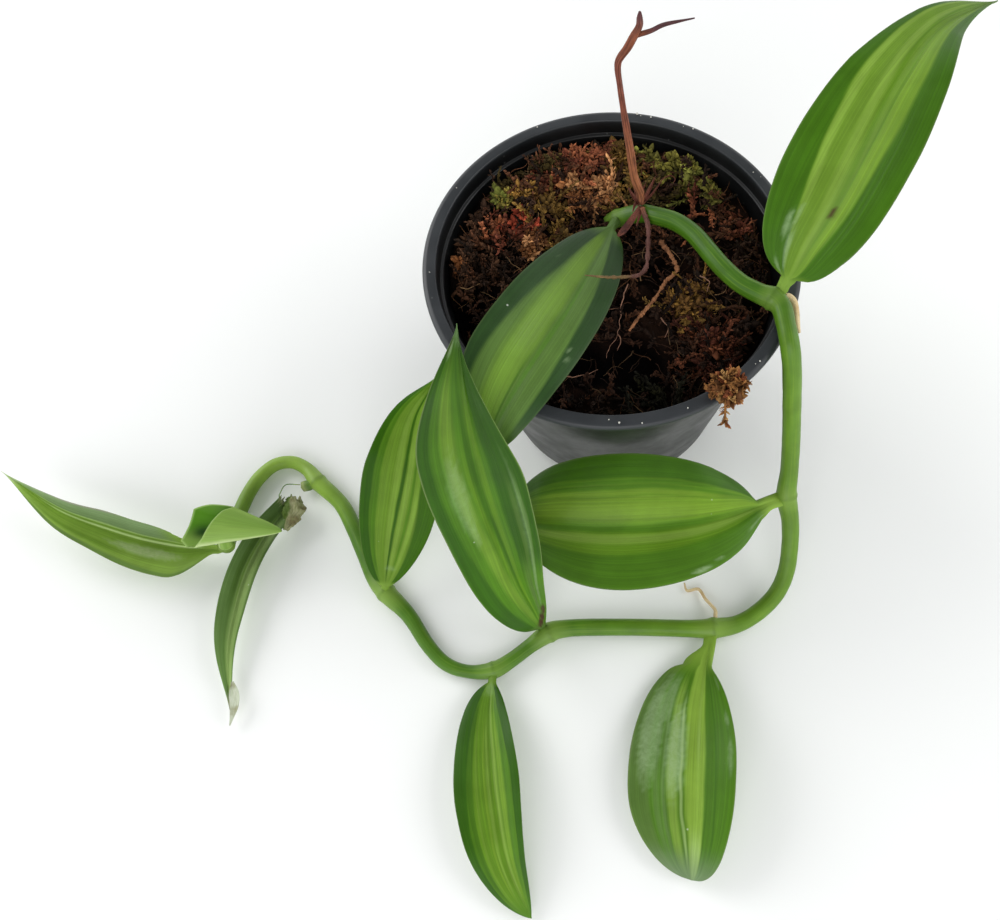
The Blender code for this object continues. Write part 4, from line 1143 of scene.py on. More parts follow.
def build_furled_leaf():
    """A cone of one rolled sheet, open at its mouth and along its overlapping edge."""
    mouth = Vector(FURL_MOUTH)
    axis = Vector(FURL_TIP) - mouth
    along = axis.normalized()
    side = along.cross(Vector((0, 0, 1))).normalized()
    up = side.cross(along)
    outer, inner, places = [], [], []
    for row in range(FURL_ROWS):
        share = row / (FURL_ROWS - 1)
        for column in range(FURL_COLUMNS + 1):
            turn = column / FURL_COLUMNS
            angle = math.radians(FURL_START + FURL_TURN * turn)
            wide = FURL_RADIUS * (1 - share) ** FURL_TAPER
            wide *= 1 + FURL_SAG * max(0.0, math.cos(angle)) * (1 - share) ** 1.5
            wide *= 1 + FURL_BULGE * max(0.0, -math.cos(angle)) * 4 * share * (1 - share)
            radius = wide * (1 - FURL_OVERLAP * (1 - turn)) + FURL_TIP_RADIUS
            ray = side * math.cos(angle) + up * math.sin(angle) * FURL_FLATNESS
            centre = mouth + axis * share - along * (1 - share) * furl_lip(math.degrees(angle))
            thin = FURL_THICK * (1 - abs(2 * turn - 1) ** 6) ** 0.5 * min(1.0, 0.25 + 4 * share)
            outer.append(centre + ray * radius)
            inner.append(centre + ray * max(0.02, radius - thin * min(1.0, radius / 1.6)))
            places.append((turn, share))
    sheet = close_sheet(outer, inner, places, FURL_ROWS, FURL_COLUMNS + 1)
    half, whole = len(sheet[0]) // 2, len(sheet[0])
    stalk = tube_points(curve_through(FURL_STALK, FURL_STALK_SPACING), FURL_STALK_SIDES)
    form = join_parts((sheet, stalk))
    marks = []
    # The second mark is the painted shade of the hollow.
    for i, point in enumerate(form[0]):
        off = ((point.x - FURL_HOLLOW_SHADE[0]) / 4.2) ** 2 + ((point.y - FURL_HOLLOW_SHADE[1]) / 2.8) ** 2
        marks.append((1.0 if half <= i < whole else 0.0, math.exp(-off), 0.0, 1.0))
    add_piece("leaf_furled_blade", form, furled_finish(), ("leaf_furled",), {"marks": marks})


# Stem


def stem_swell(centre, angle):
    """How much the stem is thicker than its table at a place: faint ridges and a collar at each joint."""
    size = 1 + STEM_RIDGE_DEPTH * math.sin(STEM_RIDGES * angle + centre.x * 0.02)
    size += 0.02 * noise.noise(centre * 0.25)
    for place, *_ in JOINTS:
        off = (centre - Vector(place)).length / COLLAR_REACH
        if off < 3:
            size += COLLAR_RISE / 3 * math.exp(-off * off)
    return size


def stem_finish():
    """Fleshy green stem: dark in the pot, lighter over the rim, palest at the arch near its young end; the
    steps are partly its own tone and partly painted shade.
    """
    finish, tree, skin = new_finish("stem_skin")
    uv = uv_place(tree)
    apart = axes(tree, uv)
    # Steps along the stem, partly its own tone and partly painted shade.
    colour = shade(DARK_GREEN)
    for begin, end, tone in (
        (0.15, 0.25, LEAF_GREEN), (0.5, 0.6, FOREST_GREEN), (0.8, 0.88, BRIGHT_LIME),
        (0.92, 0.96, MID_GREEN),
    ):
        colour = mix(tree, span(tree, apart["Y"], begin, end), colour, shade(tone))
    place = object_place(tree)
    streak = grain(tree, stretched(tree, apart["X"], apart["Y"], 16.0, 22.0), 1.0, 3.0)
    colour = mix(tree, span(tree, streak, 0.45, 0.75, 0.0, 0.3), colour, shade((128, 160, 44)))
    colour = use_group(tree, "mottle", {
        "Color": colour, "Vector": place, "Scale": 130.0, "Dark": 0.88, "Light": 1.08})["Color"]
    marks = point_marks(tree)
    colour = mix(tree, times(tree, marks[0], 0.6), colour, shade((136, 166, 72)))
    colour = mix(tree, times(tree, marks[2], 0.4), colour, shade((56, 84, 26)))
    colour = mix(tree, marks[1], colour, shade((150, 156, 104)))
    dots = use_group(tree, "flecks", {"Vector": place, "Scale": 420.0, "Size": 0.2, "Share": 0.03})["Mask"]
    colour = mix(tree, times(tree, dots, 0.5), colour, shade((60, 84, 34)))
    rough = span(tree, streak, 0.3, 0.7, 0.36, 0.5)
    dress(tree, skin, colour, rough, 0.32, bump(tree, streak, 0.25, 0.0003))
    return finish


def build_stem():
    path = curve_through(VINE, STEM_SPACING)
    stem = tube_points(path, STEM_SIDES, stem_swell)
    stub = tube_points(curve_through([(*p, STUB_RADIUS) for p in STUB], STUB_SPACING), STUB_SIDES,
                       lambda c, a: 1 + 0.12 * noise.noise(Vector((math.cos(a), math.sin(a), c.x * 0.5))))
    fibre = tube_points(curve_through(FIBRE, STUB_SPACING), FIBRE_SIDES)
    form = join_parts((stem, stub, fibre))
    for point in form[0]:
        point.z = max(0.0, point.z)
    centres = [Vector(p[:3]) for p in path]
    courses = []
    for place, *_ in JOINTS:
        near = min(range(1, len(centres) - 1), key=lambda i: (centres[i] - Vector(place)).length)
        courses.append((centres[near + 1] - centres[near - 1]).normalized())
    marks = []
    for point in form[0]:
        pale = line = 0.0
        for (place, reach, strength), course in zip(JOINTS, courses):
            off = point - Vector(place)
            pale = max(pale, strength * min(1.0, max(0.0, 1.5 - off.length / reach)))
            wave = 1.2 * noise.noise(point * 0.35)
            if off.length < JOINT_REACH:
                line = max(line, 1 - abs(off.dot(course) + wave) / JOINT_LINE)
        end = (point - Vector(STUB[-1])).length
        brown = min(1.0, max(0.0, (3.0 - end) / 1.5))
        marks.append((pale, brown, line, 1.0))
    add_piece("stem", form, stem_finish(), ("vine",), {"marks": marks})


# Dry shoot and roots


def bark_finish(name, tones, scale, rough, fresh=None):
    """Dry fibrous skin of three tones with fine lines along it. Fresh is a tone down one side."""
    finish, tree, skin = new_finish(name)
    apart = axes(tree, uv_place(tree))
    place = object_place(tree)
    streak = grain(tree, stretched(tree, apart["X"], apart["Y"], 14.0, scale), 1.0, 4.0, 0.6)
    patch = grain(tree, place, 160.0, 3.0)
    colour = mix(tree, span(tree, streak, 0.35, 0.65), shade(tones[0]), shade(tones[1]))
    colour = mix(tree, span(tree, patch, 0.5, 0.72), colour, shade(tones[2]))
    if fresh:
        side = calc(tree, "MULTIPLY_ADD", patch, 0.3, apart["X"])
        colour = mix(tree, span(tree, side, 0.4, 0.56, 0.95, 0.0), colour, shade(fresh))
    rough = span(tree, patch, 0.3, 0.7, rough - 0.08, rough + 0.1)
    dress(tree, skin, colour, rough, 0.3, bump(tree, streak, 0.7, 0.0005))
    return finish


def shoot_finish():
    """The dry stalk: orange brown low down, redder above and purple grey at its ends."""
    finish, tree, skin = new_finish("dry_shoot_skin")
    apart = axes(tree, uv_place(tree))
    place = object_place(tree)
    high = axes(tree, place)
    low_tone = mix(tree, span(tree, high["Z"], 0.1, 0.135), shade((166, 104, 68)), shade((138, 76, 60)))
    low_tone = mix(tree, span(tree, high["Z"], 0.143, 0.15), low_tone, shade((128, 70, 46)))
    fork = times(tree, span(tree, high["X"], 0.008, 0.012), span(tree, high["Z"], 0.12, 0.13))
    ends = calc(tree, "MAXIMUM", span(tree, high["Z"], 0.155, 0.162), fork)
    low_tone = mix(tree, ends, low_tone, shade((92, 56, 62)))
    root = span(tree, high["Y"], 0.012, 0.017, 1.0, 0.0)
    low_tone = mix(tree, root, low_tone, shade((112, 74, 66)))
    far = times(tree, span(tree, high["X"], 0.0035, 0.0075, 1.0, 0.0),
                span(tree, high["Y"], -0.012, -0.01, 1.0, 0.0))
    low_tone = mix(tree, far, low_tone, shade((140, 114, 70)))
    groove = grain(tree, stretched(tree, apart["X"], apart["Y"], 9.0, 5.0), 1.0, 4.0, 0.6)
    colour = mix(tree, span(tree, groove, 0.4, 0.56, 0.75, 0.0), low_tone, shade((70, 36, 28)))
    colour = mix(tree, span(tree, groove, 0.58, 0.72, 0.0, 0.5), colour, shade((204, 150, 112)))
    colour = use_group(tree, "mottle", {
        "Color": colour, "Vector": place, "Scale": 260.0, "Dark": 0.75, "Light": 1.1})["Color"]
    dress(tree, skin, colour, span(tree, groove, 0.3, 0.7, 0.75, 0.55), 0.3, bump(tree, groove, 0.8, 0.0006))
    return finish


def wrinkled(depth, size, seed):
    """A swell that shrinks and twists a dry stalk unevenly."""

    def swell(centre, angle):
        groove = math.sin(4 * angle + centre.z * 0.11 + seed)
        return 1 + depth * groove + 1.4 * depth * noise.noise(
            Vector((math.cos(angle) * 1.5, math.sin(angle) * 1.5, (centre.z + centre.x) / size)))

    return swell


def knobbly(depth, size, seed):
    """A swell of small beads along a dead root."""

    def swell(centre, angle):
        bead = noise.noise(Vector((centre.x / size, centre.y / size, centre.z / size + seed)))
        across = (centre.x - centre.y) / size * 1.7
        skin = noise.noise(Vector((math.cos(angle) * 2, math.sin(angle) * 2, across)))
        return 1 + depth * bead + 0.7 * depth * skin

    return swell


def papery_blade(path, widths, curl, seed):
    """A thin dry blade along a path: each width is a half width, curl bends its margins up in degrees."""
    line = curve_through([(*p, w) for p, w in zip(path, widths)], 0.7)
    centres = [Vector(p[:3]) for p in line]
    last = len(centres) - 1
    upper, lower, places = [], [], []
    for i, centre in enumerate(centres):
        along = (centres[min(i + 1, last)] - centres[max(i - 1, 0)]).normalized()
        side = along.cross(Vector((0.25, -0.35, 0.9))).normalized()
        up = side.cross(along)
        for column in range(BLADE_COLUMNS):
            across = 2 * column / (BLADE_COLUMNS - 1) - 1
            bend = math.radians(curl) * across
            ruffle = 0.25 * noise.noise(Vector((i * 0.22, across * 2, seed)))
            reach = max(0.08, line[i][3]) * across
            point = centre + side * reach * math.cos(bend) + up * (abs(reach) * math.sin(abs(bend)) + ruffle)
            half = 0.14 * math.sqrt(max(0.0, 1 - across**4)) + 0.01
            upper.append(point + up * half)
            lower.append(point - up * half)
            places.append((column / (BLADE_COLUMNS - 1), i / last))
    return close_sheet(upper, lower, places, len(centres), BLADE_COLUMNS)


PAPERY_BLADES = (
    (((9.4, 18.4, 89.0), (11.0, 20.0, 91.2), (12.8, 23.0, 93.0), (13.8, 25.2, 93.6)),
     (0.8, 1.15, 0.7, 0.15), 60),
    (((9.6, 18.2, 89.0), (12.0, 19.6, 90.6), (14.6, 22.6, 92.0), (16.2, 25.0, 92.6), (18.6, 26.2, 92.9),
      (20.2, 25.2, 92.5), (19.6, 23.8, 92.2)), (0.6, 0.75, 0.5, 0.35, 0.3, 0.3, 0.12), 70),
    (((8.4, 17.5, 89.0), (6.6, 20.0, 90.5), (5.2, 22.4, 91.8)), (0.8, 0.9, 0.15), 50),
    (((8.6, 17.8, 89.4), (7.4, 21.2, 91.2), (7.2, 24.0, 92.4)), (0.7, 0.7, 0.12), 60),
    (((9.4, 18.6, 89.2), (9.8, 21.4, 91.4), (11.0, 24.0, 92.8)), (0.7, 0.6, 0.12), 60),
    (((9.0, 16.5, 89.8), (6.4, 12.0, 89.2), (3.6, 8.0, 88.6), (1.8, 6.2, 88.2)), (0.7, 1.2, 1.3, 0.5), 35),
    (((9.6, 16.8, 89.4), (8.6, 13.4, 88.8), (7.8, 10.6, 87.4)), (0.9, 0.9, 0.3), 60),
    (((8.4, 18.8, 88.4), (7.2, 16.6, 90.2), (6.6, 14.0, 90.4)), (1.3, 1.1, 0.3), 65),
)


def build_dry_shoot():
    stalk = join_parts((
        tube_points(curve_through(SHOOT, SHOOT_SPACING), SHOOT_SIDES, wrinkled(0.13, 7.0, 0.0)),
        tube_points(curve_through(FORK, FORK_SPACING), FORK_SIDES, wrinkled(0.12, 4.0, 2.0)),
        tube_points(curve_through(THIN_ROOT, THIN_ROOT_SPACING), THIN_ROOT_SIDES,
                    knobbly(0.6, ROOT_BEAD, 4.0)),
    ))
    add_piece("dry_shoot_stalk", stalk, shoot_finish(), ("dry_shoot",))
    blades = join_parts([papery_blade(*blade, seed) for seed, blade in enumerate(PAPERY_BLADES, 1)])
    finish = bark_finish("dry_blade_skin", ((86, 44, 34), (138, 82, 66), (62, 34, 32)), 30.0, 0.7)
    add_piece("dry_shoot_blades", blades, finish)


def build_roots():
    lying = []
    for x, y in curve_through(DRY_ROOT, 2.5):
        lying.append((x, y, moss_height(x, y) + DRY_ROOT_RADIUS + DRY_ROOT_LIFT, DRY_ROOT_RADIUS))
    line = curve_through(lying, DRY_ROOT_SPACING)
    thin = [(x, y, z, r * (0.9 - 0.3 * i / len(line))) for i, (x, y, z, r) in enumerate(line)]
    dry = bark_finish("dry_root_skin", ((128, 82, 50), (190, 130, 88), (84, 52, 32)), 60.0, 0.75)
    strand = tube_points(thin, ROOT_SIDES, knobbly(0.9, ROOT_BEAD, 1.0))
    add_piece("dry_root_strand", strand, dry, ("dry_root",))
    live = bark_finish("root_skin", ((218, 192, 142), (234, 212, 168), (196, 164, 114)), 30.0, 0.55)
    air = tube_points(curve_through(AIR_ROOT, ROOT_SPACING), ROOT_SIDES, wrinkled(0.08, 3.0, 3.0))
    add_piece("air_root_strand", air, live, ("air_root",))
    nub = [(x, y, z, r * NUB_SLIM) for x, y, z, r in curve_through(NUB, ROOT_SPACING)]
    bead = tube_points(nub, SHOOT_SIDES, wrinkled(0.07, 3.0, 5.0))
    add_piece("root_nub_bead", bead, live, ("root_nub",))


# Moss

# Tones of the moss
STRAW = ((210, 165, 90), (180, 135, 65), (145, 105, 55))
OLIVE = ((115, 120, 50), (145, 132, 60), (165, 145, 70))
OCHRE = ((150, 115, 55), (120, 92, 45))
RUST = ((150, 88, 60), (120, 65, 46), (175, 105, 70))
TAN = ((205, 148, 98), (160, 104, 62))
DULL_OLIVE = ((104, 88, 44), (80, 66, 36))
RED_MOSS = ((214, 100, 70), (184, 80, 56))
BROWN = ((96, 66, 46), (72, 50, 36))
ORANGE = ((235, 150, 90), (215, 125, 75))
LIME_MOSS = ((165, 165, 78), (135, 128, 55), (110, 105, 48))
BLACK_OLIVE = ((60, 58, 34), (48, 46, 30))
# Clumps: x, y, radius, tones, how crowded, rise, share of rosettes among the strands
MOSS_CLUMPS = (
    (-29.2, 30.5, 5.5, STRAW, 3.0, 3.6, 0.9),
    (-35.6, 29.5, 4.5, OLIVE, 2.8, 3.0, 0.9),
    (-23.0, 22.8, 5.5, OCHRE, 2.2, 2.0, 0.4),
    (-23.4, 37.5, 6.5, RUST, 2.6, 2.8, 0.5),
    (-10.5, 31.5, 6.0, TAN, 2.6, 2.8, 0.6),
    (-3.0, 32.0, 5.0, TAN, 2.4, 2.4, 0.6),
    (-34.3, 38.5, 7.5, DULL_OLIVE, 2.0, 1.6, 0.3),
    (-24.0, 45.5, 6.5, DULL_OLIVE, 2.2, 2.2, 0.4),
    (-9.0, 43.0, 8.0, RUST, 2.6, 3.0, 0.5),
    (-29.1, 18.4, 4.5, RED_MOSS, 2.6, 1.8, 0.5),
    (-27.1, 10.0, 4.0, TAN, 2.8, 2.2, 0.9),
    (-37.5, 14.5, 7.0, RUST, 2.0, 1.6, 0.2),
    (-16.8, 15.5, 6.0, OCHRE, 1.8, 1.4, 0.2),
    (-46.5, 16.0, 7.0, BROWN, 2.0, 1.8, 0.3),
    (-43.0, 2.0, 8.5, BROWN, 1.8, 1.2, 0.15),
    (-53.6, 1.0, 4.0, ORANGE, 2.4, 1.4, 0.6),
    (-41.0, -12.0, 8.0, BROWN, 1.2, 0.4, 0.1),
    (3.3, 45.5, 7.5, OCHRE, 2.2, 2.0, 0.4),
    (2.6, 30.0, 5.5, OCHRE, 2.0, 1.6, 0.4),
    (15.0, 46.0, 8.5, LIME_MOSS, 2.4, 2.2, 0.4),
    (28.0, 45.5, 4.0, LIME_MOSS, 3.0, 3.4, 1.0),
    (32.0, 33.5, 6.0, LIME_MOSS, 2.6, 2.6, 0.8),
    (13.5, 33.5, 7.0, DULL_OLIVE, 1.8, 1.2, 0.3),
    (29.5, 21.5, 6.5, RUST, 1.4, 1.0, 0.0),
    (42.6, 20.0, 5.5, RUST, 1.8, 1.2, 0.1),
    (40.0, 4.0, 8.0, BROWN, 1.2, 0.4, 0.0),
    (24.8, -11.6, 6.5, STRAW, 2.8, 2.6, 0.5),
    (33.0, -26.0, 9.0, RUST, 3.0, 3.4, 0.5),
    (44.5, -22.0, 5.0, BROWN, 1.8, 1.2, 0.2),
    (12.5, -44.0, 7.0, BLACK_OLIVE, 1.6, 0.4, 0.2),
)
# Hollows where the bed lies bare and deeper, darkened with painted shade: x, y, radius, depth
MOSS_HOLLOWS = (
    (6.0, -33.0, 12.0, 4.5), (-8.0, -33.0, 9.0, 4.0), (14.0, 2.0, 8.0, 2.6), (-17.3, 22.5, 3.0, 2.5),
    (22.0, 27.0, 5.0, 3.0), (44.0, -12.0, 6.0, 3.5), (38.0, 10.0, 5.0, 2.2), (24.0, -40.0, 6.0, 2.6),
    (-45.0, -16.0, 8.0, 3.5), (20.0, 38.5, 3.5, 2.5), (-40.5, 23.0, 3.0, 2.5), (-36.0, 6.0, 2.5, 2.0),
    (2.0, -12.0, 8.0, 2.6), (37.0, 39.0, 3.5, 3.0),
)
MOSS_TONES = ((84, 54, 36), (62, 42, 30), (104, 66, 44), (50, 36, 26))
MOSS_REACH = 52.5
MOSS_STRAYS = 0.3
# Painted shade on the moss: its level, how much lighter it gets towards the back and how much darker towards
# the right
MOSS_SHADE = (0.68, 0.32, 0.1)
SPRIG_LOTS = (("moss_sprigs_first", 430, 5), ("moss_sprigs_second", 430, 6), ("moss_sprigs_third", 430, 7))
STRAND_LENGTH = (6.0, 12.0)
STRAND_THICK = (0.35, 0.8)
STRAND_STEPS = 7
STRAND_LEAFLETS = 15
LEAFLET_TURN = 2.4
ROSETTE_LEAFLETS = 13
# Along a leaflet: the share of its length, and of its width there
LEAFLET_STEPS = ((0.24, 0.85), (0.58, 1.0), (0.85, 0.55))


def moss_finish(name, rough):
    """Moss colour from the paint on each sprig, which carries painted shade and highlight: darker at the
    foot.
    """
    finish, tree, skin = new_finish(name)
    place = object_place(tree)
    colour = use_group(tree, "mottle", {
        "Color": point_mask(tree, "tint"), "Vector": place, "Scale": 700.0, "Dark": 0.7,
        "Light": 1.25})["Color"]
    rough = span(tree, grain(tree, place, 300.0), 0.3, 0.7, rough - 0.1, rough + 0.08)
    dress(tree, skin, colour, rough, 0.15)
    return finish


def bed_finish():
    """Dark moss and bark between the sprigs, made nearly black partly to paint the shade between them."""
    finish, tree, skin = new_finish("moss_bed_skin")
    place = object_place(tree)
    broad = grain(tree, place, 70.0, 4.0, 0.6)
    fine = grain(tree, place, 600.0, 4.0, 0.65)
    colour = mix(tree, span(tree, broad, 0.35, 0.65), shade((12, 9, 8)), shade((34, 22, 16)))
    colour = mix(tree, span(tree, fine, 0.55, 0.85), colour, shade((58, 38, 26)))
    # Painted shade, nearly black, in the hollows and towards the front.
    depth = point_marks(tree)[0]
    colour = mix(tree, depth, colour, shade((3, 2, 2)))
    dress(tree, skin, colour, span(tree, fine, 0.3, 0.7, 0.75, 0.95), 0.03, bump(tree, fine, 0.8, 0.0012))
    return finish


def build_moss_bed():
    """The bed under the sprigs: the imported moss's form with a finer grain."""
    clearance = WALL + MOSS_CLEARANCE
    rim = wall_radius(MOSS_LEVEL) - clearance
    points = [(0.0, 0.0, moss_height(0.0, 0.0) - BED_DROP)]
    for ring in range(1, BED_RINGS + 1):
        for k in range(BED_SIDES):
            angle = 2 * math.pi * k / BED_SIDES
            radius = rim * ring / BED_RINGS
            x, y = radius * math.cos(angle), radius * math.sin(angle)
            height = moss_height(x, y) - BED_DROP - moss_hollow(x, y)
            for size, rise, seed in BED_GRAIN:
                height += rise * noise.noise(Vector((x / size, y / size, seed)))
            if ring == BED_RINGS:
                radius = wall_radius(height) - clearance
            points.append((radius * math.cos(angle), radius * math.sin(angle), height))
    foot = wall_radius(0) - clearance
    for k in range(BED_SIDES):
        angle = 2 * math.pi * k / BED_SIDES
        points.append((foot * math.cos(angle), foot * math.sin(angle), FLOOR + 0.35))
    faces = [(0, 1 + k, 1 + (k + 1) % BED_SIDES) for k in range(BED_SIDES)]
    for ring in range(BED_RINGS):
        inner = 1 + ring * BED_SIDES
        faces += ring_faces(inner, inner + BED_SIDES, BED_SIDES, turned=True)
    low = 1 + BED_RINGS * BED_SIDES
    faces.append(tuple(low + k for k in reversed(range(BED_SIDES))))
    # Painted shade on the bed: darker in the hollows and towards the front.
    marks = [(min(1.0, moss_hollow(x, y) / 3.0 + 0.25 * max(0.0, -y / 50)), 0.0, 0.0, 1.0)
             for x, y, _ in points]
    add_piece("moss_bed", (points, faces, None), bed_finish(), ("moss",), {"marks": marks})


def add_lot(name, lot, finish, replaces=()):
    points, faces, tints = lot
    add_piece(name, (points, faces, None), finish, replaces, {"tint": tints})


def any_way(rng, low, high):
    """A random way to grow, with its upward part between low and high."""
    return Vector((rng.uniform(-1, 1), rng.uniform(-1, 1), rng.uniform(low, high)))


def add_strand(lot, line, radius, tone):
    """A three-sided strand along a line. A lot is its points, faces and tints."""
    points, faces, tints = lot
    start = len(points)
    last = len(line) - 1
    side = (line[1] - line[0]).orthogonal().normalized()
    for i, centre in enumerate(line):
        along = (line[min(i + 1, last)] - line[max(i - 1, 0)]).normalized()
        side = (side - along * side.dot(along)).normalized()
        up = along.cross(side)
        size = radius * (1 - 0.75 * i / last)
        for k in range(3):
            angle = 2 * math.pi * k / 3
            points.append(centre + (side * math.cos(angle) + up * math.sin(angle)) * size)
            tints.append(tone)
    for i in range(last):
        faces += ring_faces(start + i * 3, start + (i + 1) * 3, 3)
    faces.append((start + 2, start + 1, start))
    faces.append((start + last * 3, start + last * 3 + 1, start + last * 3 + 2))


def scaled(tone, gain):
    return tuple(part * gain for part in tone[:3]) + (1.0,)


def add_leaflet(lot, foot, way, side, length, width, curl, tone):
    """A closed keeled leaflet that curls over, dark at its foot and light at its tip: partly its own tone,
    partly painted shade and highlight.
    """
    points, faces, tints = lot
    start = len(points)
    out = way.cross(side)
    points.append(foot)
    tints.append(scaled(tone, 0.35))
    centre, before = foot, 0.0
    for share, wide in LEAFLET_STEPS:
        turn = curl * share
        heading = way * math.cos(turn) + out * math.sin(turn)
        centre = centre + heading * length * (share - before)
        before = share
        rise = side.cross(heading) * width * wide
        points += [centre + side * width * wide + rise * 0.45, centre - side * width * wide + rise * 0.45,
                   centre - rise * 0.3]
        tints += [scaled(tone, 0.6 + 0.7 * share)] * 2 + [scaled(tone, 0.45 + 0.6 * share)]
    turn = curl
    points.append(centre + (way * math.cos(turn) + out * math.sin(turn)) * length * (1 - before))
    tints.append(scaled(tone, 1.45))
    first, last = start + 1, start + 1 + 3 * len(LEAFLET_STEPS) - 3
    for k in range(3):
        n = (k + 1) % 3
        faces.append((start, first + n, first + k))
        for step in range(len(LEAFLET_STEPS) - 1):
            a, b = first + step * 3, first + step * 3 + 3
            faces.append((a + k, a + n, b + n, b + k))
        faces.append((last + k, last + n, last + 3))


def add_moss_strand(lot, rng, foot, way, length, tone, leaflets, size):
    """A curling moss strand with overlapping leaflets all round it."""
    bend = any_way(rng, -0.9, 0.5)
    line = [foot]
    heading = way.normalized()
    for _ in range(STRAND_STEPS):
        heading = (heading + bend * 0.3).normalized()
        line.append(line[-1] + heading * length / STRAND_STEPS)
    add_strand(lot, line, rng.uniform(*STRAND_THICK), scaled(tone, 0.7))
    for k in range(leaflets):
        share = 0.08 + 0.9 * k / leaflets
        i = int(share * STRAND_STEPS)
        place = line[i].lerp(line[i + 1], share * STRAND_STEPS - i)
        along = (line[i + 1] - line[i]).normalized()
        turn = k * LEAFLET_TURN + rng.uniform(-0.5, 0.5)
        first = along.orthogonal().normalized()
        out = first * math.cos(turn) + along.cross(first) * math.sin(turn)
        lean = rng.uniform(0.15, 0.8)
        blade = (along * math.cos(lean) + out * math.sin(lean)).normalized()
        long = size * rng.uniform(0.75, 1.3) * (1.1 - 0.4 * share)
        width, curl = long * rng.uniform(0.2, 0.34), rng.uniform(-1.2, 1.6)
        add_leaflet(lot, place, blade, along.cross(out).normalized(), long, width, curl,
                    scaled(tone, rng.uniform(0.55, 1.3)))


def add_rosette(lot, rng, centre, up, tone, leaflets, size):
    """The head of a moss plant: leaflets that spread from one point and droop."""
    first = up.orthogonal().normalized()
    second = up.cross(first)
    for k in range(leaflets):
        share = k / leaflets
        turn = k * LEAFLET_TURN + rng.uniform(-0.3, 0.3)
        out = first * math.cos(turn) + second * math.sin(turn)
        lean = 0.25 + 1.2 * share + rng.uniform(-0.4, 0.4)
        blade = up * math.cos(lean) + out * math.sin(lean)
        long = size * (0.55 + 0.55 * share) * rng.uniform(0.6, 1.3)
        add_leaflet(lot, centre, blade, up.cross(out).normalized(), long,
                    long * rng.uniform(0.2, 0.32), -rng.uniform(0.0, 1.9),
                    scaled(tone, rng.uniform(0.75, 1.2) * (1.15 - 0.35 * share)))


def moss_hollow(x, y):
    """How deep the bare hollows are at a place."""
    depth = 0.0
    for hx, hy, radius, most in MOSS_HOLLOWS:
        off = math.hypot(x - hx, y - hy) / radius
        if off < 1:
            depth = max(depth, most * (1 - off * off))
    return depth


def moss_pick(rng):
    """A place on the moss with its tones, its rise and whether it is a rosette."""
    while True:
        x, y = rng.uniform(-MOSS_REACH, MOSS_REACH), rng.uniform(-MOSS_REACH, MOSS_REACH)
        if math.hypot(x, y) > MOSS_REACH:
            continue
        best, clump = 0.0, None
        for one in MOSS_CLUMPS:
            near = 1.15 - math.hypot(x - one[0], y - one[1]) / one[2] + 0.6 * noise.noise(
                Vector((x / 4, y / 4, one[2] + one[0])))
            if near > best:
                best, clump = near, one
        crowd = clump[4] if clump else 0.9
        if rng.uniform(0, 3.0) > crowd - moss_hollow(x, y) * 0.45:
            continue
        rosette = rng.random() < (clump[6] if clump else 0.1)
        tones, rise = (clump[3], clump[5] * min(1.0, best)) if clump else (MOSS_TONES, 0.0)
        if rng.random() < MOSS_STRAYS:
            tones, rosette = MOSS_TONES, False
        patch = 0.5 + 0.9 * noise.noise(Vector((x / 3.5, y / 3.5, 40.0))) + rng.uniform(-0.12, 0.12)
        return x, y, tones[min(len(tones) - 1, max(0, int(patch * len(tones))))], rise, rosette


def painted_moss_shade(x, y):
    """Painted shade on the moss at a place: it darkens towards the front and the right and in the hollows.
    """
    level, back, left = MOSS_SHADE
    return max(0.4, level + back * y / 50 - left * x / 50) * (1 - 0.14 * moss_hollow(x, y))


def inside_pot(points):
    """Whether all the points lie within the pot's wall and its rim's throat."""
    throat = RIM_RADIUS - RIM_WIDTH - LEDGE_INSET
    return all(math.hypot(p.x, p.y) < min(throat, wall_radius(p.z) - WALL) - 0.3 for p in points)


def build_moss_sprigs():
    finish = moss_finish("moss_sprig_skin", 0.85)
    for name, count, seed in SPRIG_LOTS:
        rng = random.Random(seed)
        lot = [], [], []
        for _ in range(count):
            made = len(lot[0]), len(lot[1])
            x, y, tone, rise, rosette = moss_pick(rng)
            reach = max(1.0, math.hypot(x, y))
            level = moss_height(x, y) - 1.6 - moss_hollow(x, y) * 0.8
            foot = Vector((x, y, level + rise * rng.uniform(0.2, 1.0)))
            inward = Vector((-x / reach, -y / reach, 0.4))
            # The sprig's tone carries the moss's painted shade.
            tone = scaled(shade(tone), rng.uniform(0.55, 1.3) * painted_moss_shade(x, y))
            if rosette:
                up = Vector((rng.uniform(-0.5, 0.5), rng.uniform(-0.5, 0.5), 1.0))
                if reach > MOSS_REACH - 5:
                    up += inward * 0.8
                    foot += inward * 2.5
                add_rosette(lot, rng, foot + Vector((0, 0, 1.2)), up.normalized(), tone,
                            ROSETTE_LEAFLETS, rng.uniform(2.4, 4.4))
            else:
                way = any_way(rng, -0.1, 0.7)
                length = rng.uniform(*STRAND_LENGTH)
                end = foot + way.normalized() * length
                if math.hypot(end.x, end.y) > MOSS_REACH:
                    way = inward + way * 0.5
                add_moss_strand(lot, rng, foot, way, length, tone, STRAND_LEAFLETS,
                                rng.uniform(1.5, 2.7))
            if not inside_pot(lot[0][made[0]:]):
                del lot[0][made[0]:], lot[1][made[1]:], lot[2][made[0]:]
        add_lot(name, lot, finish)


FIBRE_TONES = ((150, 104, 68), (112, 72, 48), (176, 138, 96), (78, 52, 38), (100, 66, 46))
THREAD_COUNT = 420
THREAD_STEPS = 9
THREAD_SEED = 31
THREAD_WANDER = 0.5
# Where noise is read for x, y and z. noise_vector isn't used, because it differs from run to run.
THREAD_SHIFTS = (0.0, 31.7, 63.4)
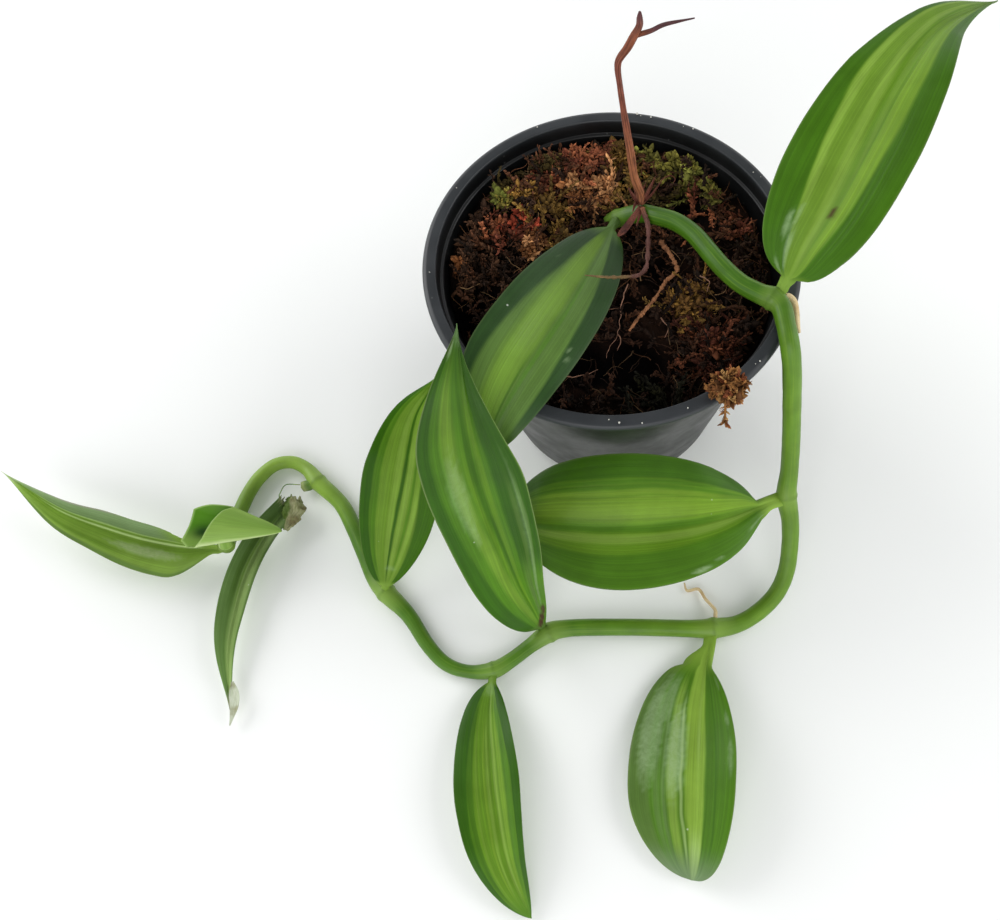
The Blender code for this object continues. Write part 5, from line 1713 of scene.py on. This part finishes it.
# Pale roots and threads that stand out on the dark moss
LOOSE_THREADS = (
    ((5.1, -8.3, 83.0), (3.2, -13.0, 81.0), (2.6, -18.4, 79.0), (1.9, -23.6, 78.0), (-0.3, -27.6, 78.0),
     (-1.8, -31.9, 77.5)),
    ((1.9, -24.0, 78.6), (2.9, -26.5, 78.0), (1.6, -29.1, 77.6)),
    ((-6.3, -12.3, 80.0), (-2.5, -15.7, 80.0), (3.2, -15.3, 80.0)),
    ((-17.3, -36.6, 77.0), (-11.3, -38.6, 77.4), (-4.3, -35.9, 77.0)),
    ((28.2, -2.9, 80.0), (31.0, -5.8, 80.4), (29.9, -9.3, 80.0)),
    ((15.2, -18.4, 79.0), (17.6, -21.3, 79.0), (16.6, -25.4, 78.6)),
)


def wander(point):
    """How far a loose thread wanders off its line at a point."""
    off = [noise.noise(point * 0.5 + Vector((shift, 0, 0))) for shift in THREAD_SHIFTS]
    return THREAD_WANDER * Vector(off)


def build_moss_fibres():
    """Loose threads and fine roots over the moss."""
    rng = random.Random(THREAD_SEED)
    lot = [], [], []
    for _ in range(THREAD_COUNT):
        angle, reach = rng.uniform(0, 2 * math.pi), MOSS_REACH * math.sqrt(rng.random())
        x, y = reach * math.cos(angle), reach * math.sin(angle)
        # The thread's tone carries the moss's painted shade.
        tone = scaled(shade(rng.choice(FIBRE_TONES)), rng.uniform(0.35, 0.9) * painted_moss_shade(x, y))
        place = Vector((x, y, moss_height(x, y) - moss_hollow(x, y) * 0.7 + rng.uniform(0.2, 1.6)))
        heading = any_way(rng, -0.2, 0.4).normalized()
        line = [place]
        for _ in range(THREAD_STEPS):
            heading = heading + any_way(rng, -0.6, 0.5) * 0.4
            heading.normalize()
            nxt = line[-1] + heading * rng.uniform(0.6, 1.1)
            nxt.z = max(nxt.z, moss_height(nxt.x, nxt.y) - moss_hollow(nxt.x, nxt.y) * 0.7)
            line.append(nxt)
        if max(math.hypot(p.x, p.y) for p in line) > MOSS_REACH:
            continue
        add_strand(lot, line, rng.uniform(0.1, 0.24), tone)
    for thread in LOOSE_THREADS:
        line = [Vector(p[:3]) for p in curve_through([(*p, 0.0) for p in thread], 0.8)]
        add_strand(lot, [p + wander(p) for p in line], 0.26, shade((150, 112, 92)))
    add_lot("moss_fibres", lot, moss_finish("moss_fibre_skin", 0.8))


TUFT_SEED = 41
TUFT_STRANDS = 64
TUFT_LEAFLETS = 34
TUFT_TONES = ((150, 104, 58), (128, 86, 46), (186, 142, 86), (104, 66, 36), (122, 68, 40))


def build_tuft():
    """A tan tuft of moss on the rim, with a strand that hangs over it."""
    rng = random.Random(TUFT_SEED)
    lot = [], [], []
    centre = Vector(TUFT_CENTRE)
    for _ in range(TUFT_STRANDS):
        out = Vector((rng.gauss(0, 1), rng.gauss(0, 1), rng.gauss(0, 1))).normalized()
        lump = 0.42 + 0.3 * noise.noise(out * 1.6 + centre)
        foot = centre + Vector(out[i] * TUFT_SIZE[i] * lump for i in range(3))
        tone = scaled(shade(rng.choice(TUFT_TONES)), rng.uniform(0.7, 1.1))
        way = out + any_way(rng, -0.6, 0.6) * 0.8
        add_moss_strand(lot, rng, foot, way, rng.uniform(2.4, 4.6), tone, 10,
                        rng.uniform(1.8, 3.4))
    core = [centre + Vector(((i - 4.5) * 0.9, 0.6 * math.sin(i), 0.0)) for i in range(10)]
    add_strand(lot, core, 2.2, shade((84, 54, 30)))
    strand = [Vector(p[:3]) for p in curve_through(TUFT_STRAND, 0.7)]
    add_strand(lot, strand, 0.8, shade((150, 104, 56)))
    for _ in range(TUFT_LEAFLETS):
        place = strand[rng.randrange(1, len(strand))]
        way = Vector((rng.uniform(-1, 1), rng.uniform(-1, 0.2), rng.uniform(-1.6, -0.2))).normalized()
        add_leaflet(lot, place, way, way.orthogonal().normalized(), rng.uniform(1.6, 3.0),
                    rng.uniform(0.22, 0.4), rng.uniform(-0.8, 0.8), shade(rng.choice(TUFT_TONES)))
    add_lot("tuft_sprigs", lot, moss_finish("tuft_skin", 0.85), ("moss_tuft",))


# Pot


def pot_finish():
    """Moulded black plastic, greyer on the rim; the outer wall is lighter with dust and painted sheen, and
    the inside is nearly black with painted shade.
    """
    finish, tree, skin = new_finish("pot_plastic")
    place = object_place(tree)
    apart = axes(tree, place)
    reach = put(tree, "ShaderNodeVectorMath", {0: put(tree, "ShaderNodeCombineXYZ", {
        "X": apart["X"], "Y": apart["Y"]}).outputs[0]}, operation="LENGTH").outputs["Value"]
    off = calc(tree, "SUBTRACT", reach, calc(tree, "MULTIPLY_ADD", apart["Z"], 0.18, 0.0396))
    wall = times(tree, span(tree, apart["Z"], 0.0785, 0.0795, 1.0, 0.0), span(tree, off, 0.0, 0.0006))
    low = span(tree, apart["Z"], 0.0851, 0.0856, 1.0, 0.0)
    inside = times(tree, low, span(tree, reach, 0.0553, 0.0559, 1.0, 0.0))
    cloud = grain(tree, place, 60.0, 4.0, 0.6)
    fine = grain(tree, place, 900.0, 3.0, 0.6)
    colour = mix(tree, span(tree, cloud, 0.3, 0.7), shade((36, 39, 42)), shade((45, 48, 51)))
    # The outer wall is lighter: dust and painted sheen.
    wall_sheen, dust_and_sheen = shade((92, 102, 86)), shade((116, 123, 103))
    colour = mix(tree, wall, colour, mix(tree, span(tree, cloud, 0.3, 0.7), wall_sheen, dust_and_sheen))
    # Painted shade: the inside of the pot nearly black.
    colour = mix(tree, inside, colour, shade((9, 10, 11)))
    dust = use_group(tree, "flecks", {"Vector": place, "Scale": 520.0, "Size": 0.22, "Share": 0.05})["Mask"]
    colour = mix(tree, times(tree, dust, 0.25), colour, shade((150, 152, 148)))
    dress(tree, skin, colour, span(tree, cloud, 0.3, 0.7, 0.34, 0.5), 0.4, bump(tree, fine, 0.12, 0.0002))
    return finish


def crumb_finish():
    finish, tree, skin = new_finish("crumb_skin")
    place = object_place(tree)
    colour = mix(tree, grain(tree, place, 1500.0), shade((226, 226, 218)), shade((180, 176, 164)))
    feed(tree, skin["Base Color"], colour)
    skin["Roughness"].default_value = 0.8
    return finish


def build_crumbs():
    """Pale grains of potting mix on the rim."""
    rng = random.Random(CRUMB_SEED)
    points, faces = [], []
    for x, y, size in RIM_CRUMBS:
        start = len(points)
        for ring in range(CRUMB_RINGS):
            lift = math.pi * (ring + 0.5) / CRUMB_RINGS
            for k in range(CRUMB_SIDES):
                angle = 2 * math.pi * k / CRUMB_SIDES
                rough = size * rng.uniform(0.75, 1.25)
                out = rough * math.sin(lift)
                height = RIM_TOP + size * 0.55 + rough * 0.7 * math.cos(lift)
                points.append((x + out * math.cos(angle), y + out * math.sin(angle), height))
        for ring in range(CRUMB_RINGS - 1):
            high = start + ring * CRUMB_SIDES
            faces += ring_faces(high, high + CRUMB_SIDES, CRUMB_SIDES, turned=True)
        faces.append(tuple(start + k for k in range(CRUMB_SIDES)))
        low = start + (CRUMB_RINGS - 1) * CRUMB_SIDES
        faces.append(tuple(low + k for k in reversed(range(CRUMB_SIDES))))
    add_piece("rim_crumbs", (points, faces, None), crumb_finish())


def rounded(profile, radii):
    """A closed profile with its corners turned into small arcs."""
    found = []
    count = len(profile)
    for i, corner in enumerate(profile):
        corner = Vector(corner)
        before = Vector(profile[i - 1]) - corner
        after = Vector(profile[(i + 1) % count]) - corner
        size = min(radii[i], before.length * 0.45, after.length * 0.45)
        if size <= 0:
            found.append(corner)
            continue
        start, end = corner + before.normalized() * size, corner + after.normalized() * size
        for step in range(POT_ARC + 1):
            t = step / POT_ARC
            found.append(start * (1 - t) ** 2 + corner * 2 * t * (1 - t) + end * t**2)
    return found


def ring_points(profile, sides):
    points = []
    for k in range(sides):
        angle = 2 * math.pi * k / sides
        points += [(r * math.cos(angle), r * math.sin(angle), z) for r, z in profile]
    return points


def build_pot():
    """The pot with rounded edges, a smooth wall and drain holes. Corners: radius, height and rounding."""
    ledge = RIM_TOP - LEDGE_DROP
    throat = RIM_RADIUS - RIM_WIDTH
    lip = RIM_TOP - LIP_HEIGHT
    corners = (
        (0.0, 0.0, 0.0), (BASE_RADIUS - BASE_CHAMFER, 0.0, 0.5),
        (wall_radius(BASE_CHAMFER), BASE_CHAMFER, 0.5), (wall_radius(ledge - WALL), ledge - WALL, 0.3),
        (throat - LEDGE_INSET + WALL, ledge - 0.3, 0.3), (throat + WALL, lip + WALL, 0.2),
        (RIM_RADIUS - WALL, lip + WALL, 0.2), (RIM_RADIUS - WALL, lip, 0.3), (RIM_RADIUS, lip, 0.35),
        (RIM_RADIUS, RIM_TOP - 0.9, 0.4), (RIM_RADIUS - 0.5, RIM_TOP - 0.3, 0.3),
        (RIM_RADIUS - 1.4, RIM_TOP, 0.3), (throat + 0.3, RIM_TOP, 0.25), (throat, RIM_TOP - 0.5, 0.25),
        (throat - LEDGE_INSET, ledge + 0.3, 0.2), (throat - LEDGE_INSET - LEDGE_STEP, ledge, 0.4),
        (wall_radius(0) - WALL, FLOOR, 0.8), (0.0, FLOOR, 0.0),
    )
    profile = rounded([c[:2] for c in corners], [c[2] for c in corners])
    points = ring_points(profile, POT_SIDES)
    count = len(profile)
    faces = []
    for k in range(POT_SIDES):
        n = (k + 1) % POT_SIDES
        for i in range(count - 1):
            faces.append((k * count + i, n * count + i, n * count + i + 1, k * count + i + 1))
    pot = add_piece("pot_shell", (points, faces, None), pot_finish(), ("pot",))
    form = bmesh.new()
    form.from_mesh(pot.data)
    bmesh.ops.remove_doubles(form, verts=form.verts, dist=1e-6)
    bmesh.ops.recalc_face_normals(form, faces=form.faces)
    form.to_mesh(pot.data)
    form.free()
    drill_holes(pot)
    pot.data.shade_smooth()
    pot.data.set_sharp_from_angle(angle=math.radians(SHARP_ANGLE))


def drill_holes(pot):
    """Cuts the drain holes out of the pot's floor."""
    points, faces = [], []
    for hole in range(DRAIN_HOLES):
        turn = 2 * math.pi * (hole + 0.5) / DRAIN_HOLES
        start = len(points)
        for z in (-1.0, FLOOR + 1.0):
            for k in range(DRAIN_SIDES):
                angle = 2 * math.pi * k / DRAIN_SIDES
                points.append((DRAIN_CIRCLE * math.cos(turn) + DRAIN_RADIUS * math.cos(angle),
                               DRAIN_CIRCLE * math.sin(turn) + DRAIN_RADIUS * math.sin(angle), z))
        faces.append(tuple(start + k for k in reversed(range(DRAIN_SIDES))))
        faces.append(tuple(start + DRAIN_SIDES + k for k in range(DRAIN_SIDES)))
        faces += ring_faces(start, start + DRAIN_SIDES, DRAIN_SIDES)
    mesh = bpy.data.meshes.new("drain_cutter")
    mesh.from_pydata([(x * MM, y * MM, z * MM) for x, y, z in points], [], faces)
    cutter = add_object("drain_cutter", mesh)
    modifier = pot.modifiers.new("drain", "BOOLEAN")
    modifier.operation = "DIFFERENCE"
    modifier.object = cutter
    modifier.solver = "EXACT"
    bpy.context.view_layer.update()
    cut = bpy.data.meshes.new_from_object(pot.evaluated_get(bpy.context.evaluated_depsgraph_get()))
    pot.modifiers.clear()
    pot.data = cut
    bpy.data.objects.remove(cutter)


# Studio


def build_floor():
    """A pale sheet that fades out far from the plant, so that no edge shows."""
    side = FLOOR_SIDE / 2
    corners = [(x * side, y * side, -FLOOR_DROP) for x, y in ((-1, -1), (1, -1), (1, 1), (-1, 1))]
    mesh = bpy.data.meshes.new("floor")
    mesh.from_pydata(corners, [], [(0, 1, 2, 3)])
    finish, tree, skin = new_finish("floor_paper")
    place = object_place(tree)
    cloud = grain(tree, place, 3.0)
    colour = mix(tree, cloud, shade(FLOOR_TONE), shade((246, 247, 246)))
    feed(tree, skin["Base Color"], colour)
    skin["Roughness"].default_value = 0.9
    skin["Specular IOR Level"].default_value = 0.1
    far = put(tree, "ShaderNodeVectorMath", {0: place}, operation="LENGTH").outputs["Value"]
    feed(tree, skin["Alpha"], span(tree, far, *FLOOR_FADE, 1.0, 0.0))
    mesh.materials.append(finish)
    floor = add_object("floor", mesh)


def build_light():
    world = bpy.data.worlds.new("studio")
    bpy.context.scene.world = world
    world.use_nodes = True
    tree = world.node_tree
    sky = tree.nodes["Background"].inputs
    sky["Color"].default_value = (0.98, 0.99, 1.0, 1.0)
    way = put(tree, "ShaderNodeTexCoord").outputs["Generated"]
    height = axes(tree, way)["Z"]
    feed(tree, sky["Strength"], span(tree, height, *SKY_BAND, SKY_SIDE, SKY_TOP))
    for name, place, target, size, power in LAMPS:
        lamp = bpy.data.lights.new(name, "AREA")
        lamp.shape = "RECTANGLE"
        lamp.size, lamp.size_y = size
        lamp.energy = power
        holder = add_object(name, lamp)
        holder.location = place
        holder.rotation_euler = (Vector(target) - Vector(place)).to_track_quat("-Z", "Y").to_euler()


def build_camera():
    data = bpy.data.cameras.new("camera")
    data.lens = LENS
    data.sensor_width = SENSOR
    data.shift_x = CAMERA_SHIFT
    camera = add_object("camera", data)
    camera.location = CAMERA_PLACE
    camera.rotation_euler = (math.radians(CAMERA_TILT), 0, 0)
    bpy.context.scene.camera = camera
    bpy.context.scene.view_settings.view_transform = "Standard"


def main():
    for build in (group_vein_stripe, group_leaf_place, group_mottle, group_flecks):
        build()
    build_pot()
    build_crumbs()
    build_moss_bed()
    build_moss_sprigs()
    build_moss_fibres()
    build_tuft()
    build_stem()
    build_leaves()
    build_furled_leaf()
    build_dry_shoot()
    build_roots()
    build_floor()
    build_light()
    build_camera()


main()
